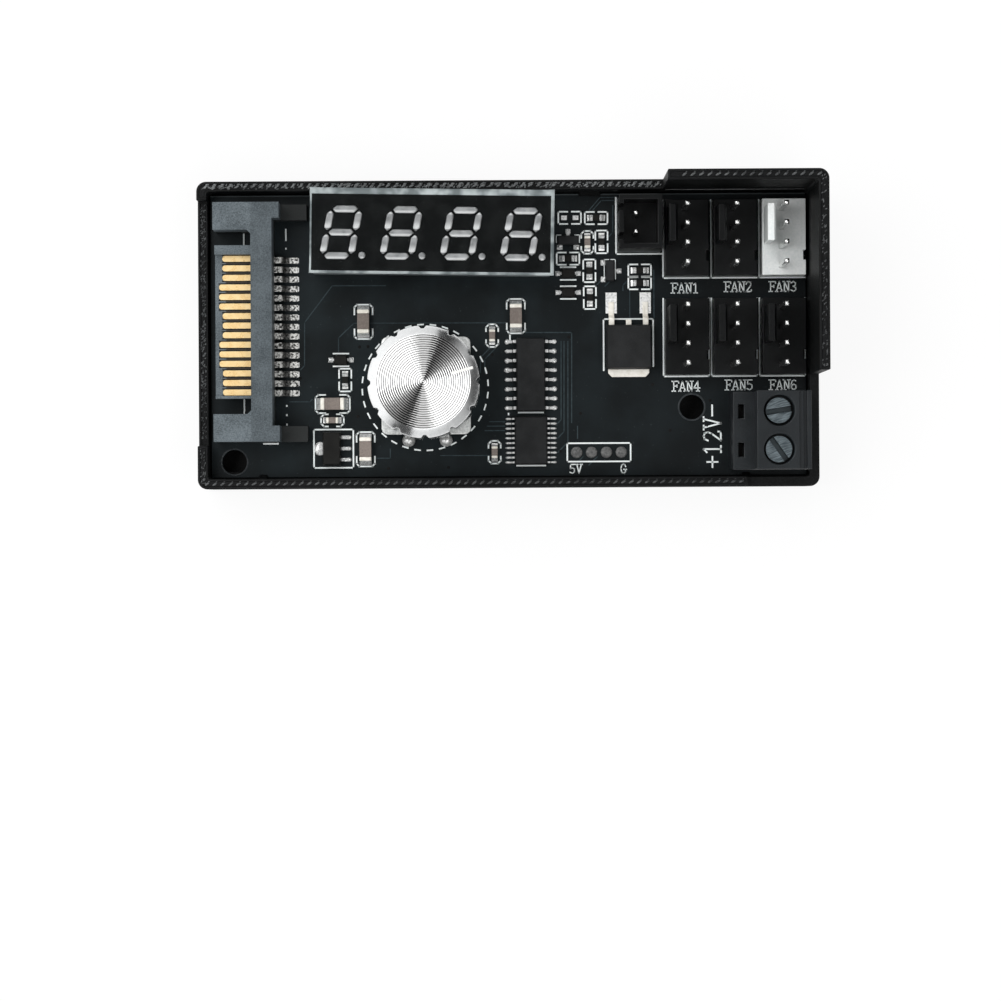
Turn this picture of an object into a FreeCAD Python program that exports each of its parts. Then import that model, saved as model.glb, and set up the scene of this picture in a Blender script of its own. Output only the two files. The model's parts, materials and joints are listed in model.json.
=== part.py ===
"""Fan speed controller: a board with a power inlet, display, knob and six fan
headers, held in an open printed tray.

Units are millimetres. The origin is the centre of the tray's underside,
+X runs from the power inlet to the fan headers, +Y to the display, +Z up.
"""
import FreeCAD, Part
import math
import os

V = FreeCAD.Vector

# Tray
WALL = 1.4
FLOOR = 1.6
CORNER_RADIUS = 1.3
INNER_CORNER_RADIUS = 0.4
BOARD_SIDE_GAP = 0.2
LEDGE_WIDTH = 1.0
LOW_RIM_OVER_BOARD = 3.2
RAISED_WALL_RISE = 12.4
RAISED_WALL_OVERHANG = 0.3
INLET_SILL_OVER_BOARD = 1.2
INLET_SIDE_ROOM = 0.5
WIRE_SILL_OVER_BOARD = 1.6
WIRE_SILL_OVERLAP = 2.1
TAB_REACH = 0.6
TAB_RISE = 1.2
TAB_BOARD_GAP = 0.1
WIDE_TAB = 2.9
WIDE_TAB_FROM_AUX = 3.7
NARROW_TAB = 1.1

# Board
BOARD_THICKNESS = 1.6
BOARD_UNDER_SPACE = 3.0
PIN_TAIL = 1.0
SMALL_ROUND_SIDES = 14
MOUNT_HOLE_RADIUS = 1.65
INLET_HOLE_FROM_LEFT = 3.05
INLET_HOLE_FROM_FRONT = 2.05
HEADER_HOLE_RIGHT_OF_PINS = 1.05
HEADER_HOLE_IN_FRONT = 4.25
HOLE_GAP = 0.05
PAD_COUNT = 4
PAD_PITCH = 2.0
PAD_RADIUS = 0.75
PAD_TOP_RADIUS = 0.55
PAD_SOLDER_RISE = 0.2
PAD_ROW_RIGHT_OF_CONTROLLER = 2.15
PAD_ROW_FROM_FRONT = 3.1

# Power inlet
INLET_SETBACK = 0.8
INLET_LENGTH = 31.7
INLET_BACK_MARGIN = 1.4
INLET_HEIGHT = 5.9
INLET_STANDOFF = 0.15
ARM_REACH = 5.0
ARM_WIDTH = 3.65
ARM_CORNER_CHAMFER = 0.5
BAR_DEPTH = 2.8
FOOT_REACH = 4.4
FOOT_WIDTH = 2.1
FOOT_HEIGHT = 2.0
FOOT_SHOULDER = 0.95
TONGUE_LENGTH = 20.3
TONGUE_SETBACK = 0.15
TONGUE_TOP = 3.9
TONGUE_THICKNESS = 1.3
TONGUE_CENTRE_OFFSET = 0.05
TONGUE_BORDER = 0.35
KEY_WIDTH = 1.2
KEY_RISE = 1.1
CONTACT_COUNT = 15
CONTACT_PITCH = 1.27
CONTACT_GROUP_OFFSET = -0.44
CONTACT_WIDTH = 0.83
CONTACT_THICKNESS = 0.2
LONG_CONTACT_SETBACK = 0.65
SHORT_CONTACT_SETBACK = 1.1
CONTACT_BEND_DEPTH = 1.5
TAIL_SHOULDER_HEIGHT = 1.2
TAIL_SHOULDER = 1.1
TAIL_DROP = 0.4
TAIL_FOOT = 1.6

# Display
DISPLAY_LENGTH = 31.6
DISPLAY_WIDTH = 10.15
DISPLAY_HEIGHT = 7.0
DISPLAY_GAP_TO_INLET = 0.95
DISPLAY_BACK_MARGIN = 0.7
DISPLAY_SKEW = -0.96
DIGIT_COUNT = 4
DIGIT_PITCH = 7.93
DIGIT_WIDTH = 4.72
DIGIT_HEIGHT = 7.12
DIGIT_SLANT = 10.0
SEGMENT_WIDTH = 0.96
SEGMENT_GAP = 0.18
SEGMENT_DEPTH = 0.6
POINT_RADIUS = 0.49
POINT_OFFSET = 2.78
POINT_DROP = 3.0
DISPLAY_PIN_COLUMNS = 6
DISPLAY_PIN_PITCH = 2.54
DISPLAY_PIN_ROWS = 7.62
DISPLAY_PIN_SIDE = 0.5
FILM_THICKNESS = 0.1
FILM_SIDE_OVERHANG = 0.42
FILM_BACK_OVERHANG = 0.78
FILM_FRONT_OVERHANG = 0.15

# Encoder and push switch
ENCODER_FROM_DISPLAY_LEFT = 15.0
ENCODER_FROM_DISPLAY_FRONT = 15.0
ENCODER_WIDTH = 11.8
ENCODER_DEPTH = 12.9
BRACKET_THICKNESS = 0.4
BRACKET_LEG_WIDTH = 8.0
BRACKET_LUG_WIDTH = 2.0
BASE_HEIGHT = 4.9
BUSHING_FLANGE = 1.2
BUSHING_RADIUS = 3.45
BUSHING_RISE = 5.0
BUSHING_CLEARANCE = 0.1
SHAFT_RADIUS = 3.0
SHAFT_CLEARANCE = 0.05
SHAFT_RISE_OVER_BUSHING = 7.1
SHAFT_FLAT_LENGTH = 6.6
SHAFT_FLAT_DEPTH = 1.5
SPINDLE_RADIUS = 2.0
SPINDLE_FLAT = 1.4
ROTOR_RADIUS = 4.5
ROTOR_THICKNESS = 1.0
ROTOR_CLEARANCE = 0.2
DETENT_THICKNESS = 0.2
SWITCH_WELL_RADIUS = 2.6
SWITCH_WELL_FLOOR = 0.7
SWITCH_WELL_TOP = 2.5
PLUNGER_RADIUS = 2.3
PLUNGER_THICKNESS = 0.9
DOME_RADIUS = 2.2
DOME_TOP_RADIUS = 1.0
DOME_LEG_WIDTH = 1.4
DOME_RISE = 0.55
DOME_THICKNESS = 0.1
PRESS_TRAVEL = 0.5
SEAT_CLEARANCE = 0.05
ENCODER_PIN_WIDTH = 0.9
ENCODER_PIN_THICKNESS = 0.4
ENCODER_PIN_EXIT = 0.9
SIGNAL_PIN_PITCH = 2.5
SIGNAL_PIN_GAP = 1.45
SWITCH_PIN_PITCH = 5.0
SWITCH_PIN_GAP = 1.05
SOLDER_RADIUS = 0.85
SOLDER_TOP_RADIUS = 0.55
SOLDER_HEIGHT = 0.75

# Knob
KNOB_RADIUS = 7.2
KNOB_HEIGHT = 12.6
KNOB_FACE_RADIUS = 6.06
KNOB_BEVEL_HEIGHT = 0.9
KNOB_FLUTES = 12
FLUTE_WIDTH = 0.84
FLUTE_FLOOR = 0.36
FLUTE_DEPTH = 0.4
FLUTE_PHASE = 1.0
KNOB_RUN_GAP = 0.7
KNOB_RECESS_RADIUS = 4.4
KNOB_BORE_CLEARANCE = 0.02
POINTER_ANGLE = 15.5
POINTER_START = 3.85
POINTER_WIDTH = 0.4
POINTER_DEPTH = 0.15

# Fan headers
FAN_COLUMNS = 3
FAN_ROWS = 2
FAN_WIDTH = 5.8
FAN_LENGTH = 10.16
FAN_BASE_HEIGHT = 3.2
FAN_COLUMN_GAP = 0.65
FAN_ROW_GAP = 3.04
FAN_BACK_MARGIN = 1.07
FAN_RIGHT_MARGIN = 0.24
FAN_PIN_COUNT = 4
FAN_PIN_PITCH = 2.54
FAN_PIN_SIDE = 0.64
FAN_PIN_RISE = 11.2
FAN_PIN_INSET = 2.54
PIN_TIP = 0.18
LOCK_TAB_INSET = 0.2
LOCK_TAB_THICKNESS = 0.85
LOCK_TAB_LENGTH = 4.9
LOCK_TAB_FROM_BACK = 1.2
LOCK_TAB_RISE = 9.6
LOCK_TAB_HOOK = 0.28
BASE_NOTCH_WIDTH = 1.3
BASE_NOTCH_DEPTH = 0.35
BASE_NOTCH_FROM_FRONT = 2.0

# Shrouded two-pin header
AUX_WIDTH = 5.8
AUX_LENGTH = 7.15
AUX_HEIGHT = 7.0
AUX_WALL = 0.7
AUX_FLOOR = 2.0
AUX_GAP_TO_FANS = 0.5
AUX_BACK_MARGIN = 0.75
AUX_PIN_PITCH = 2.5
AUX_PIN_RISE = 6.0
AUX_PIN_INSET = 2.3
AUX_SLIT_WIDTH = 0.9
AUX_SLIT_OFFSET = 1.9
PARTS_FIELD_LENGTH = 9.0

# Screw terminal
TERMINAL_PITCH = 5.08
TERMINAL_END_WALL = 0.1
TERMINAL_HEIGHT = 10.0
TERMINAL_LEDGE_DEPTH = 2.8
TERMINAL_LEDGE_HEIGHT = 5.6
TERMINAL_BODY_DEPTH = 5.6
TERMINAL_LIP_DEPTH = 1.6
TERMINAL_LIP_HEIGHT = 9.5
TERMINAL_GAP_TO_FANS = 2.4
TERMINAL_FRONT_MARGIN = 0.6
TERMINAL_RIGHT_MARGIN = 0.25
LIP_GROOVE_WIDTH = 0.4
LIP_GROOVE_DEPTH = 0.4
SCREW_FROM_LEDGE = 2.95
SCREW_WELL_RADIUS = 2.05
SCREW_HEAD_RADIUS = 1.75
SCREW_HEAD_HEIGHT = 1.6
SCREW_HEAD_SUNK = 1.0
SCREW_SHANK_RADIUS = 1.25
SCREW_SLOT_WIDTH = 0.7
SCREW_SLOT_DEPTH = 0.7
SCREW_SLOT_ANGLES = (9.0, -55.0)
SCREW_CLEARANCE = 0.05
CAGE_LENGTH = 3.6
CAGE_WIDTH = 3.9
CAGE_WALL = 0.6
CAGE_HEIGHT = 4.0
CAGE_SIDE_GAP = 0.1
CAGE_FLOOR_GAP = 0.7
CAGE_TRAVEL = 2.0
CAGE_HEAD_ROOM = 0.2
CONTACT_BAR_THICKNESS = 0.5
CONTACT_BAR_WIDTH = 1.6
CONTACT_BAR_GAP = 0.1
CONTACT_LEG_THICKNESS = 0.6
TEST_SLOT_WIDTH = 0.75
TEST_SLOT_LENGTH = 1.85
TEST_SLOT_FROM_BACK = 0.7
WIRE_HOLE_WIDTH = 3.0
WIRE_HOLE_HEIGHT = 2.4
WIRE_HOLE_SILL = 1.1

# Surface-mounted packages
LEAD_THICKNESS = 0.2
DRIVER_WIDTH = 3.9
DRIVER_LENGTH = 9.9
DRIVER_HEIGHT = 1.6
DRIVER_LEADS_A_SIDE = 8
DRIVER_PITCH = 1.27
DRIVER_LEAD_WIDTH = 0.42
DRIVER_SPAN = 6.4
DRIVER_RIGHT_OF_ENCODER = 13.9
DRIVER_IN_FRONT_OF_DISPLAY = 8.45
CONTROLLER_WIDTH = 4.4
CONTROLLER_LENGTH = 6.5
CONTROLLER_HEIGHT = 1.1
CONTROLLER_LEADS_A_SIDE = 10
CONTROLLER_PITCH = 0.65
CONTROLLER_LEAD_WIDTH = 0.25
CONTROLLER_SPAN = 6.4
CHIP_GAP = 0.62
CHIP_STANDOFF = 0.1
CHIP_DRAFT = 0.15
MOSFET_WIDTH = 6.1
MOSFET_LENGTH = 5.9
MOSFET_HEIGHT = 2.3
MOSFET_LEAD_PITCH = 2.286
MOSFET_LEAD_WIDTH = 0.75
MOSFET_LEAD_REACH = 3.15
MOSFET_STUB = 0.7
MOSFET_TAB_WIDTH = 5.5
MOSFET_TAB_REACH = 1.05
MOSFET_TAB_THICKNESS = 0.5
MOSFET_TAB_CHAMFER = 0.5
MOSFET_LEFT_OF_HEADERS = 7.4
MOSFET_BEHIND_MIDDLE = -1.72
REGULATOR_WIDTH = 2.45
REGULATOR_LENGTH = 4.5
REGULATOR_HEIGHT = 1.5
REGULATOR_LEAD_PITCH = 1.5
REGULATOR_LEAD_WIDTH = 0.48
REGULATOR_LEAD_REACH = 1.0
REGULATOR_TAB_WIDTH = 1.75
REGULATOR_TAB_REACH = 0.6
REGULATOR_LEFT_OF_ENCODER = 12.8
REGULATOR_IN_FRONT_OF_ENCODER = 8.15
SMALL_OUTLINE_WIDTH = 1.3
SMALL_OUTLINE_LENGTH = 2.9
SMALL_OUTLINE_HEIGHT = 1.0
SMALL_OUTLINE_SPAN = 2.4
SMALL_OUTLINE_PITCH = 1.9
SMALL_OUTLINE_LEAD = 0.4
DIODE_LENGTH = 1.8
DIODE_WIDTH = 1.3
DIODE_HEIGHT = 0.95
DIODE_SPAN = 2.6
DIODE_LEAD = 0.35
LARGE_CHIP = (3.2, 1.6, 1.3)
SMALL_CHIP = (1.6, 0.8, 0.8)
RESISTOR_CHIP = (1.6, 0.8, 0.45)
CHIP_END = 0.35
LARGE_CHIP_END = 0.55

# Small parts round the encoder: right of its axis, behind it, and turn in degrees
ENCODER_DIODE = (-11.55, 3.75, 0)
ENCODER_RESISTOR = (-11.0, 1.05, 90)
ENCODER_LARGE_CAPACITORS = ((-8.5, 8.85, 90), (-8.3, -8.25, 90), (-12.7, -2.15, 0), (11.95, 9.5, 90))
ENCODER_SMALL_CAPACITORS = ((8.75, 6.9, 90), (9.0, -8.75, 90), (-12.75, -4.35, 0))

# Small parts in the field beside the display: right of it, in front of the shrouded header, and turn
FIELD_TRANSISTORS = ((2.4, 1.925, 90), (8.0, 6.05, 0))
FIELD_DIODES = ((2.4, 6.35, 0), (2.4, 8.9, 0))
FIELD_CAPACITOR = (5.0, 2.175, 90)
FIELD_RESISTORS = ((6.2, -1.075, 0), (6.9, 2.125, 90), (2.4, 4.35, 0), (5.25, 6.0, 90), (5.3, 9.6, 90),
                   (12.0, 6.0, 0), (12.0, 7.7, 0))

# Board and tray sizes follow from the row of parts along each edge
FAN_PITCH_X = FAN_WIDTH + FAN_COLUMN_GAP
FAN_PITCH_Y = FAN_LENGTH + FAN_ROW_GAP
FANS_ACROSS = FAN_COLUMNS * FAN_PITCH_X - FAN_COLUMN_GAP
FANS_ALONG = FAN_ROWS * FAN_PITCH_Y - FAN_ROW_GAP
INLET_DEPTH = ARM_REACH + BAR_DEPTH + FOOT_REACH
TERMINAL_LENGTH = 2 * (TERMINAL_PITCH + TERMINAL_END_WALL)
TERMINAL_DEPTH = TERMINAL_LEDGE_DEPTH + TERMINAL_BODY_DEPTH + TERMINAL_LIP_DEPTH
BOARD_LENGTH = (INLET_SETBACK + INLET_DEPTH + DISPLAY_GAP_TO_INLET + DISPLAY_LENGTH
                + PARTS_FIELD_LENGTH + AUX_WIDTH + AUX_GAP_TO_FANS + FANS_ACROSS
                + FAN_RIGHT_MARGIN)
BOARD_WIDTH = (FAN_BACK_MARGIN + FANS_ALONG + TERMINAL_GAP_TO_FANS + TERMINAL_LENGTH
               + TERMINAL_FRONT_MARGIN)
CASE_LENGTH = BOARD_LENGTH + 2 * (BOARD_SIDE_GAP + WALL)
CASE_WIDTH = BOARD_WIDTH + 2 * (BOARD_SIDE_GAP + WALL)

BOARD_LEFT = -BOARD_LENGTH / 2
BOARD_RIGHT = BOARD_LENGTH / 2
BOARD_FRONT = -BOARD_WIDTH / 2
BOARD_BACK = BOARD_WIDTH / 2
BOARD_BOTTOM = FLOOR + BOARD_UNDER_SPACE
BOARD_TOP = BOARD_BOTTOM + BOARD_THICKNESS
PIN_BOTTOM = BOARD_BOTTOM - PIN_TAIL
LOW_RIM = BOARD_TOP + LOW_RIM_OVER_BOARD
HIGH_RIM = LOW_RIM + RAISED_WALL_RISE

INLET_LEFT = BOARD_LEFT + INLET_SETBACK
INLET_BACK = BOARD_BACK - INLET_BACK_MARGIN
INLET_FRONT = INLET_BACK - INLET_LENGTH
INLET_MIDDLE = (INLET_BACK + INLET_FRONT) / 2
BAR_LEFT = INLET_LEFT + ARM_REACH
BAR_RIGHT = BAR_LEFT + BAR_DEPTH
DISPLAY_LEFT = BAR_RIGHT + FOOT_REACH + DISPLAY_GAP_TO_INLET
DISPLAY_X = DISPLAY_LEFT + DISPLAY_LENGTH / 2
DISPLAY_Y = BOARD_BACK - DISPLAY_BACK_MARGIN - DISPLAY_WIDTH / 2
DISPLAY_FRONT = DISPLAY_Y - DISPLAY_WIDTH / 2
DISPLAY_RIGHT = DISPLAY_LEFT + DISPLAY_LENGTH
ENCODER_X = DISPLAY_LEFT + ENCODER_FROM_DISPLAY_LEFT
ENCODER_Y = DISPLAY_FRONT - ENCODER_FROM_DISPLAY_FRONT
FANS_RIGHT = BOARD_RIGHT - FAN_RIGHT_MARGIN
FANS_LEFT = FANS_RIGHT - FANS_ACROSS
FANS_BACK = BOARD_BACK - FAN_BACK_MARGIN
FANS_FRONT = FANS_BACK - FANS_ALONG
AUX_LEFT = FANS_LEFT - AUX_GAP_TO_FANS - AUX_WIDTH
AUX_Y = BOARD_BACK - AUX_BACK_MARGIN - AUX_LENGTH / 2
TERMINAL_RIGHT = BOARD_RIGHT - TERMINAL_RIGHT_MARGIN
TERMINAL_LEFT = TERMINAL_RIGHT - TERMINAL_DEPTH
TERMINAL_Y = FANS_FRONT - TERMINAL_GAP_TO_FANS - TERMINAL_LENGTH / 2

# Encoder levels above the board
FLANGE_TOP = BOARD_TOP + BASE_HEIGHT + BUSHING_FLANGE
ENCODER_TOP = FLANGE_TOP + BRACKET_THICKNESS
BUSHING_TOP = FLANGE_TOP + BUSHING_RISE
SHAFT_TOP = BUSHING_TOP + SHAFT_RISE_OVER_BUSHING
KNOB_BOTTOM = ENCODER_TOP + PRESS_TRAVEL + KNOB_RUN_GAP
KNOB_TOP = KNOB_BOTTOM + KNOB_HEIGHT
KNOB_RECESS_TOP = BUSHING_TOP + PRESS_TRAVEL + KNOB_RUN_GAP
WELL_FLOOR = BOARD_TOP + SWITCH_WELL_FLOOR
WELL_TOP = BOARD_TOP + SWITCH_WELL_TOP
PLUNGER_BOTTOM = WELL_FLOOR + DOME_RISE + SEAT_CLEARANCE
PLUNGER_TOP = PLUNGER_BOTTOM + PLUNGER_THICKNESS
SPINDLE_BOTTOM = PLUNGER_TOP + SEAT_CLEARANCE
ROTOR_BOTTOM = WELL_TOP + SEAT_CLEARANCE
ROTOR_TOP = ROTOR_BOTTOM + ROTOR_THICKNESS
BASE_TOP = BOARD_TOP + BASE_HEIGHT
BASE_HALF_DEPTH = ENCODER_DEPTH / 2 - BRACKET_THICKNESS

# Terminal levels above the board
SCREW_X = TERMINAL_LEFT + TERMINAL_LEDGE_DEPTH + SCREW_FROM_LEDGE
SCREW_HEAD_TOP = BOARD_TOP + TERMINAL_HEIGHT - SCREW_HEAD_SUNK
SCREW_HEAD_SEAT = SCREW_HEAD_TOP - SCREW_HEAD_HEIGHT
CAGE_BOTTOM = BOARD_TOP + CAGE_FLOOR_GAP
CAGE_TOP = CAGE_BOTTOM + CAGE_HEIGHT
CHAMBER_TOP = CAGE_TOP + CAGE_TRAVEL + CAGE_HEAD_ROOM
BAR_TOP = CAGE_TOP - CAGE_WALL - CONTACT_BAR_GAP
BAR_BOTTOM = BAR_TOP - CONTACT_BAR_THICKNESS
TEST_SLOT_X = TERMINAL_LEFT + TEST_SLOT_FROM_BACK + TEST_SLOT_WIDTH / 2


def box(x0, x1, y0, y1, z0, z1):
    return Part.makeBox(x1 - x0, y1 - y0, z1 - z0, V(x0, y0, z0))


def block(x, y, length, width, z0, z1):
    """Box centred on (x, y)."""
    return box(x - length / 2, x + length / 2, y - width / 2, y + width / 2, z0, z1)


def rod(x, y, radius, z0, z1):
    return Part.makeCylinder(radius, z1 - z0, V(x, y, z0))


def disc(x, y, radius, top_radius, z0, z1):
    """Small round piece, drawn with a few flat sides and narrowing to its top."""
    turns = [2 * math.pi * i / SMALL_ROUND_SIDES for i in range(SMALL_ROUND_SIDES + 1)]
    rings = []
    for r, z in ((radius, z0), (top_radius, z1)):
        rings.append(Part.makePolygon([V(x + r * math.cos(t), y + r * math.sin(t), z) for t in turns]))
    return Part.makeLoft(rings, True, True)


def prism(points, z0, z1):
    """Polygon in plan, raised from z0 to z1."""
    wire = Part.makePolygon([V(x, y, z0) for x, y in points + points[:1]])
    return Part.Face(wire).extrude(V(0, 0, z1 - z0))


def profile_along_y(points, y0, y1):
    """Polygon of (x, z) points, extruded from y0 to y1."""
    wire = Part.makePolygon([V(x, y0, z) for x, z in points + points[:1]])
    return Part.Face(wire).extrude(V(0, y1 - y0, 0))


def ribbon(path, thickness):
    """Closed outline of a bent strip whose outer side follows path, mitred at the bends."""
    inner = []
    for i, (x, z) in enumerate(path):
        before = path[max(i - 1, 0)]
        after = path[min(i + 1, len(path) - 1)]
        normals = []
        for (ax, az), (bx, bz) in ((before, (x, z)), ((x, z), after)):
            length = math.hypot(bx - ax, bz - az)
            if length > 0:
                normals.append(((bz - az) / length, -(bx - ax) / length))
        nx = sum(n[0] for n in normals) / len(normals)
        nz = sum(n[1] for n in normals) / len(normals)
        scale = thickness / (nx * nx + nz * nz)
        inner.append((x + nx * scale, z + nz * scale))
    return path + inner[::-1]


def rounded_plate(length, width, radius, z0, z1):
    plate = block(0, 0, length, width, z0, z1)
    upright = [e for e in plate.Edges if abs(e.tangentAt(e.FirstParameter).z) > 0.9]
    return plate.makeFillet(radius, upright)


def turned(shape, angle, x, y):
    shape = shape.copy()
    shape.rotate(V(x, y, 0), V(0, 0, 1), angle)
    return shape


def square_pin(x, y, side, z0, z1):
    """Square pin with a chamfered upper tip."""
    pin = block(x, y, side, side, z0, z1)
    tips = [e for e in pin.Edges if e.BoundBox.ZMin > (z0 + z1) / 2]
    return pin.makeChamfer(PIN_TIP, tips)


def drafted_body(x, y, length, width, z0, z1):
    """Moulded package: widest at its parting line, narrower at top and bottom."""
    middle = (z0 + z1) / 2
    halves = []
    for z in (z0, z1):
        wires = []
        for level, inset in ((middle, 0), (z, CHIP_DRAFT)):
            a = length / 2 - inset
            b = width / 2 - inset
            corners = [(-a, -b), (a, -b), (a, b), (-a, b), (-a, -b)]
            wires.append(Part.makePolygon([V(x + p, y + q, level) for p, q in corners]))
        halves.append(Part.makeLoft(wires, True, True))
    return halves[0].fuse(halves[1]).removeSplitter()


def gull_lead(x, y, reach_from, reach_to, width, height, angle):
    """Lead that leaves a package side at half height and turns out onto the board.

    Reaches are measured from the package centre (x, y) along +X, then turned by angle.
    """
    knee = reach_from + (reach_to - reach_from) * 0.3
    ankle = reach_from + (reach_to - reach_from) * 0.45
    shoulder = BOARD_TOP + height / 2 + LEAD_THICKNESS / 2
    foot = BOARD_TOP + LEAD_THICKNESS
    path = [(reach_from, shoulder), (knee, shoulder), (ankle, foot), (reach_to, foot)]
    outline = [(x + u, z) for u, z in ribbon(path, LEAD_THICKNESS)]
    return turned(profile_along_y(outline, y - width / 2, y + width / 2), angle, x, y)


def display_spot(x, y):
    """Point given from the display's centre, set at the display's slight skew."""
    a = math.radians(DISPLAY_SKEW)
    return (DISPLAY_X + x * math.cos(a) - y * math.sin(a),
            DISPLAY_Y + x * math.sin(a) + y * math.cos(a))


def display_pin_spots():
    spots = []
    for column in range(DISPLAY_PIN_COLUMNS):
        x = (column - (DISPLAY_PIN_COLUMNS - 1) / 2) * DISPLAY_PIN_PITCH
        for y in (-DISPLAY_PIN_ROWS / 2, DISPLAY_PIN_ROWS / 2):
            spots.append(display_spot(x, y))
    return spots


def fan_left_and_middle(number):
    column = (number - 1) % FAN_COLUMNS
    row = (number - 1) // FAN_COLUMNS
    return (FANS_LEFT + column * FAN_PITCH_X,
            FANS_BACK - FAN_LENGTH / 2 - row * FAN_PITCH_Y)


def fan_pin_spots(number):
    left, middle = fan_left_and_middle(number)
    first = middle + (FAN_PIN_COUNT - 1) / 2 * FAN_PIN_PITCH
    return [(left + FAN_PIN_INSET, first - i * FAN_PIN_PITCH) for i in range(FAN_PIN_COUNT)]


def aux_pin_spots():
    x = AUX_LEFT + AUX_PIN_INSET
    return [(x, AUX_Y + AUX_PIN_PITCH / 2), (x, AUX_Y - AUX_PIN_PITCH / 2)]


def pole_middles():
    return [TERMINAL_Y + TERMINAL_PITCH / 2, TERMINAL_Y - TERMINAL_PITCH / 2]


def encoder_pin_spots():
    """(x, y, direction) of each encoder pin: three signal pins behind, two switch pins in front."""
    signal_y = ENCODER_Y + BASE_HALF_DEPTH + SIGNAL_PIN_GAP
    switch_y = ENCODER_Y - BASE_HALF_DEPTH - SWITCH_PIN_GAP
    spots = [(ENCODER_X + i * SIGNAL_PIN_PITCH, signal_y, 1) for i in (-1, 0, 1)]
    return spots + [(ENCODER_X + i * SWITCH_PIN_PITCH / 2, switch_y, -1) for i in (-1, 1)]


def lug_x():
    return ENCODER_WIDTH / 2 - BRACKET_THICKNESS / 2


def mount_hole_spots():
    header_pin_x = FANS_LEFT + FAN_PIN_INSET
    return [(BOARD_LEFT + INLET_HOLE_FROM_LEFT, BOARD_FRONT + INLET_HOLE_FROM_FRONT),
            (header_pin_x + HEADER_HOLE_RIGHT_OF_PINS, FANS_FRONT - HEADER_HOLE_IN_FRONT)]


def pad_spots():
    x = controller_spot()[0] + CONTROLLER_SPAN / 2 + PAD_ROW_RIGHT_OF_CONTROLLER + PAD_RADIUS
    return [(x + i * PAD_PITCH, BOARD_FRONT + PAD_ROW_FROM_FRONT) for i in range(PAD_COUNT)]


def case_tray():
    half_l = CASE_LENGTH / 2
    half_w = CASE_WIDTH / 2
    inner_l = half_l - WALL
    inner_w = half_w - WALL
    tray = rounded_plate(CASE_LENGTH, CASE_WIDTH, CORNER_RADIUS, 0, HIGH_RIM)
    tray = tray.cut(rounded_plate(2 * inner_l, 2 * inner_w, INNER_CORNER_RADIUS, BOARD_BOTTOM, HIGH_RIM))
    tray = tray.cut(block(0, 0, 2 * (inner_l - LEDGE_WIDTH), 2 * (inner_w - LEDGE_WIDTH),
                          FLOOR, BOARD_BOTTOM))
    # Only the corner round the fan headers keeps its full height
    raised_left = FANS_LEFT - RAISED_WALL_OVERHANG
    raised_front = FANS_FRONT
    tray = tray.cut(box(-half_l, raised_left, -half_w, half_w, LOW_RIM, HIGH_RIM))
    tray = tray.cut(box(-half_l, half_l, -half_w, raised_front, LOW_RIM, HIGH_RIM))
    # Sills let the power plug and the wires in over the wall
    tray = tray.cut(box(-half_l, -inner_l, INLET_FRONT - INLET_SIDE_ROOM, INLET_BACK + INLET_SIDE_ROOM,
                        BOARD_TOP + INLET_SILL_OVER_BOARD, LOW_RIM))
    wire_sill_left = TERMINAL_LEFT + WIRE_SILL_OVERLAP
    tray = tray.cut(box(wire_sill_left, half_l, -half_w, raised_front,
                        BOARD_TOP + WIRE_SILL_OVER_BOARD, LOW_RIM))
    # Snap tabs hold the board down on its ledge
    tab_bottom = BOARD_TOP + TAB_BOARD_GAP
    tabs = [(AUX_LEFT - WIDE_TAB_FROM_AUX, 1, WIDE_TAB),
            (BAR_LEFT + NARROW_TAB, -1, NARROW_TAB),
            (wire_sill_left, -1, NARROW_TAB)]
    for x, side, width in tabs:
        wall = inner_w * side
        points = [V(x - width / 2, wall, tab_bottom), V(x - width / 2, wall - side * TAB_REACH, tab_bottom),
                  V(x - width / 2, wall, tab_bottom + TAB_RISE)]
        wedge = Part.Face(Part.makePolygon(points + points[:1])).extrude(V(width, 0, 0))
        tray = tray.fuse(wedge)
    return tray.removeSplitter()


def circuit_board():
    def hole(x, y, radius):
        return Part.Wire(Part.makeCircle(radius, V(x, y, BOARD_BOTTOM)))

    def slot(x, y, length, width):
        """Opening for a flat or square pin, with room all round."""
        a = length / 2 + HOLE_GAP
        b = width / 2 + HOLE_GAP
        corners = [(-a, -b), (a, -b), (a, b), (-a, b), (-a, -b)]
        return Part.makePolygon([V(x + p, y + q, BOARD_BOTTOM) for p, q in corners])

    edge = [(BOARD_LEFT, BOARD_FRONT), (BOARD_RIGHT, BOARD_FRONT), (BOARD_RIGHT, BOARD_BACK),
            (BOARD_LEFT, BOARD_BACK), (BOARD_LEFT, BOARD_FRONT)]
    wires = [Part.makePolygon([V(x, y, BOARD_BOTTOM) for x, y in edge])]
    wires += [hole(x, y, MOUNT_HOLE_RADIUS) for x, y in mount_hole_spots()]
    wires += [slot(x, y, DISPLAY_PIN_SIDE, DISPLAY_PIN_SIDE) for x, y in display_pin_spots()]
    header_pins = aux_pin_spots()
    for number in range(1, FAN_COLUMNS * FAN_ROWS + 1):
        header_pins += fan_pin_spots(number)
    wires += [slot(x, y, FAN_PIN_SIDE, FAN_PIN_SIDE) for x, y in header_pins]
    wires += [slot(x, y, ENCODER_PIN_WIDTH, ENCODER_PIN_THICKNESS) for x, y, _ in encoder_pin_spots()]
    wires += [slot(TEST_SLOT_X, y, CONTACT_LEG_THICKNESS, CONTACT_BAR_WIDTH) for y in pole_middles()]
    for side in (-1, 1):
        wires.append(slot(ENCODER_X + side * lug_x(), ENCODER_Y, BRACKET_THICKNESS, BRACKET_LUG_WIDTH))
    return Part.makeFace(wires, "Part::FaceMakerBullseye").extrude(V(0, 0, BOARD_THICKNESS))


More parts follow.
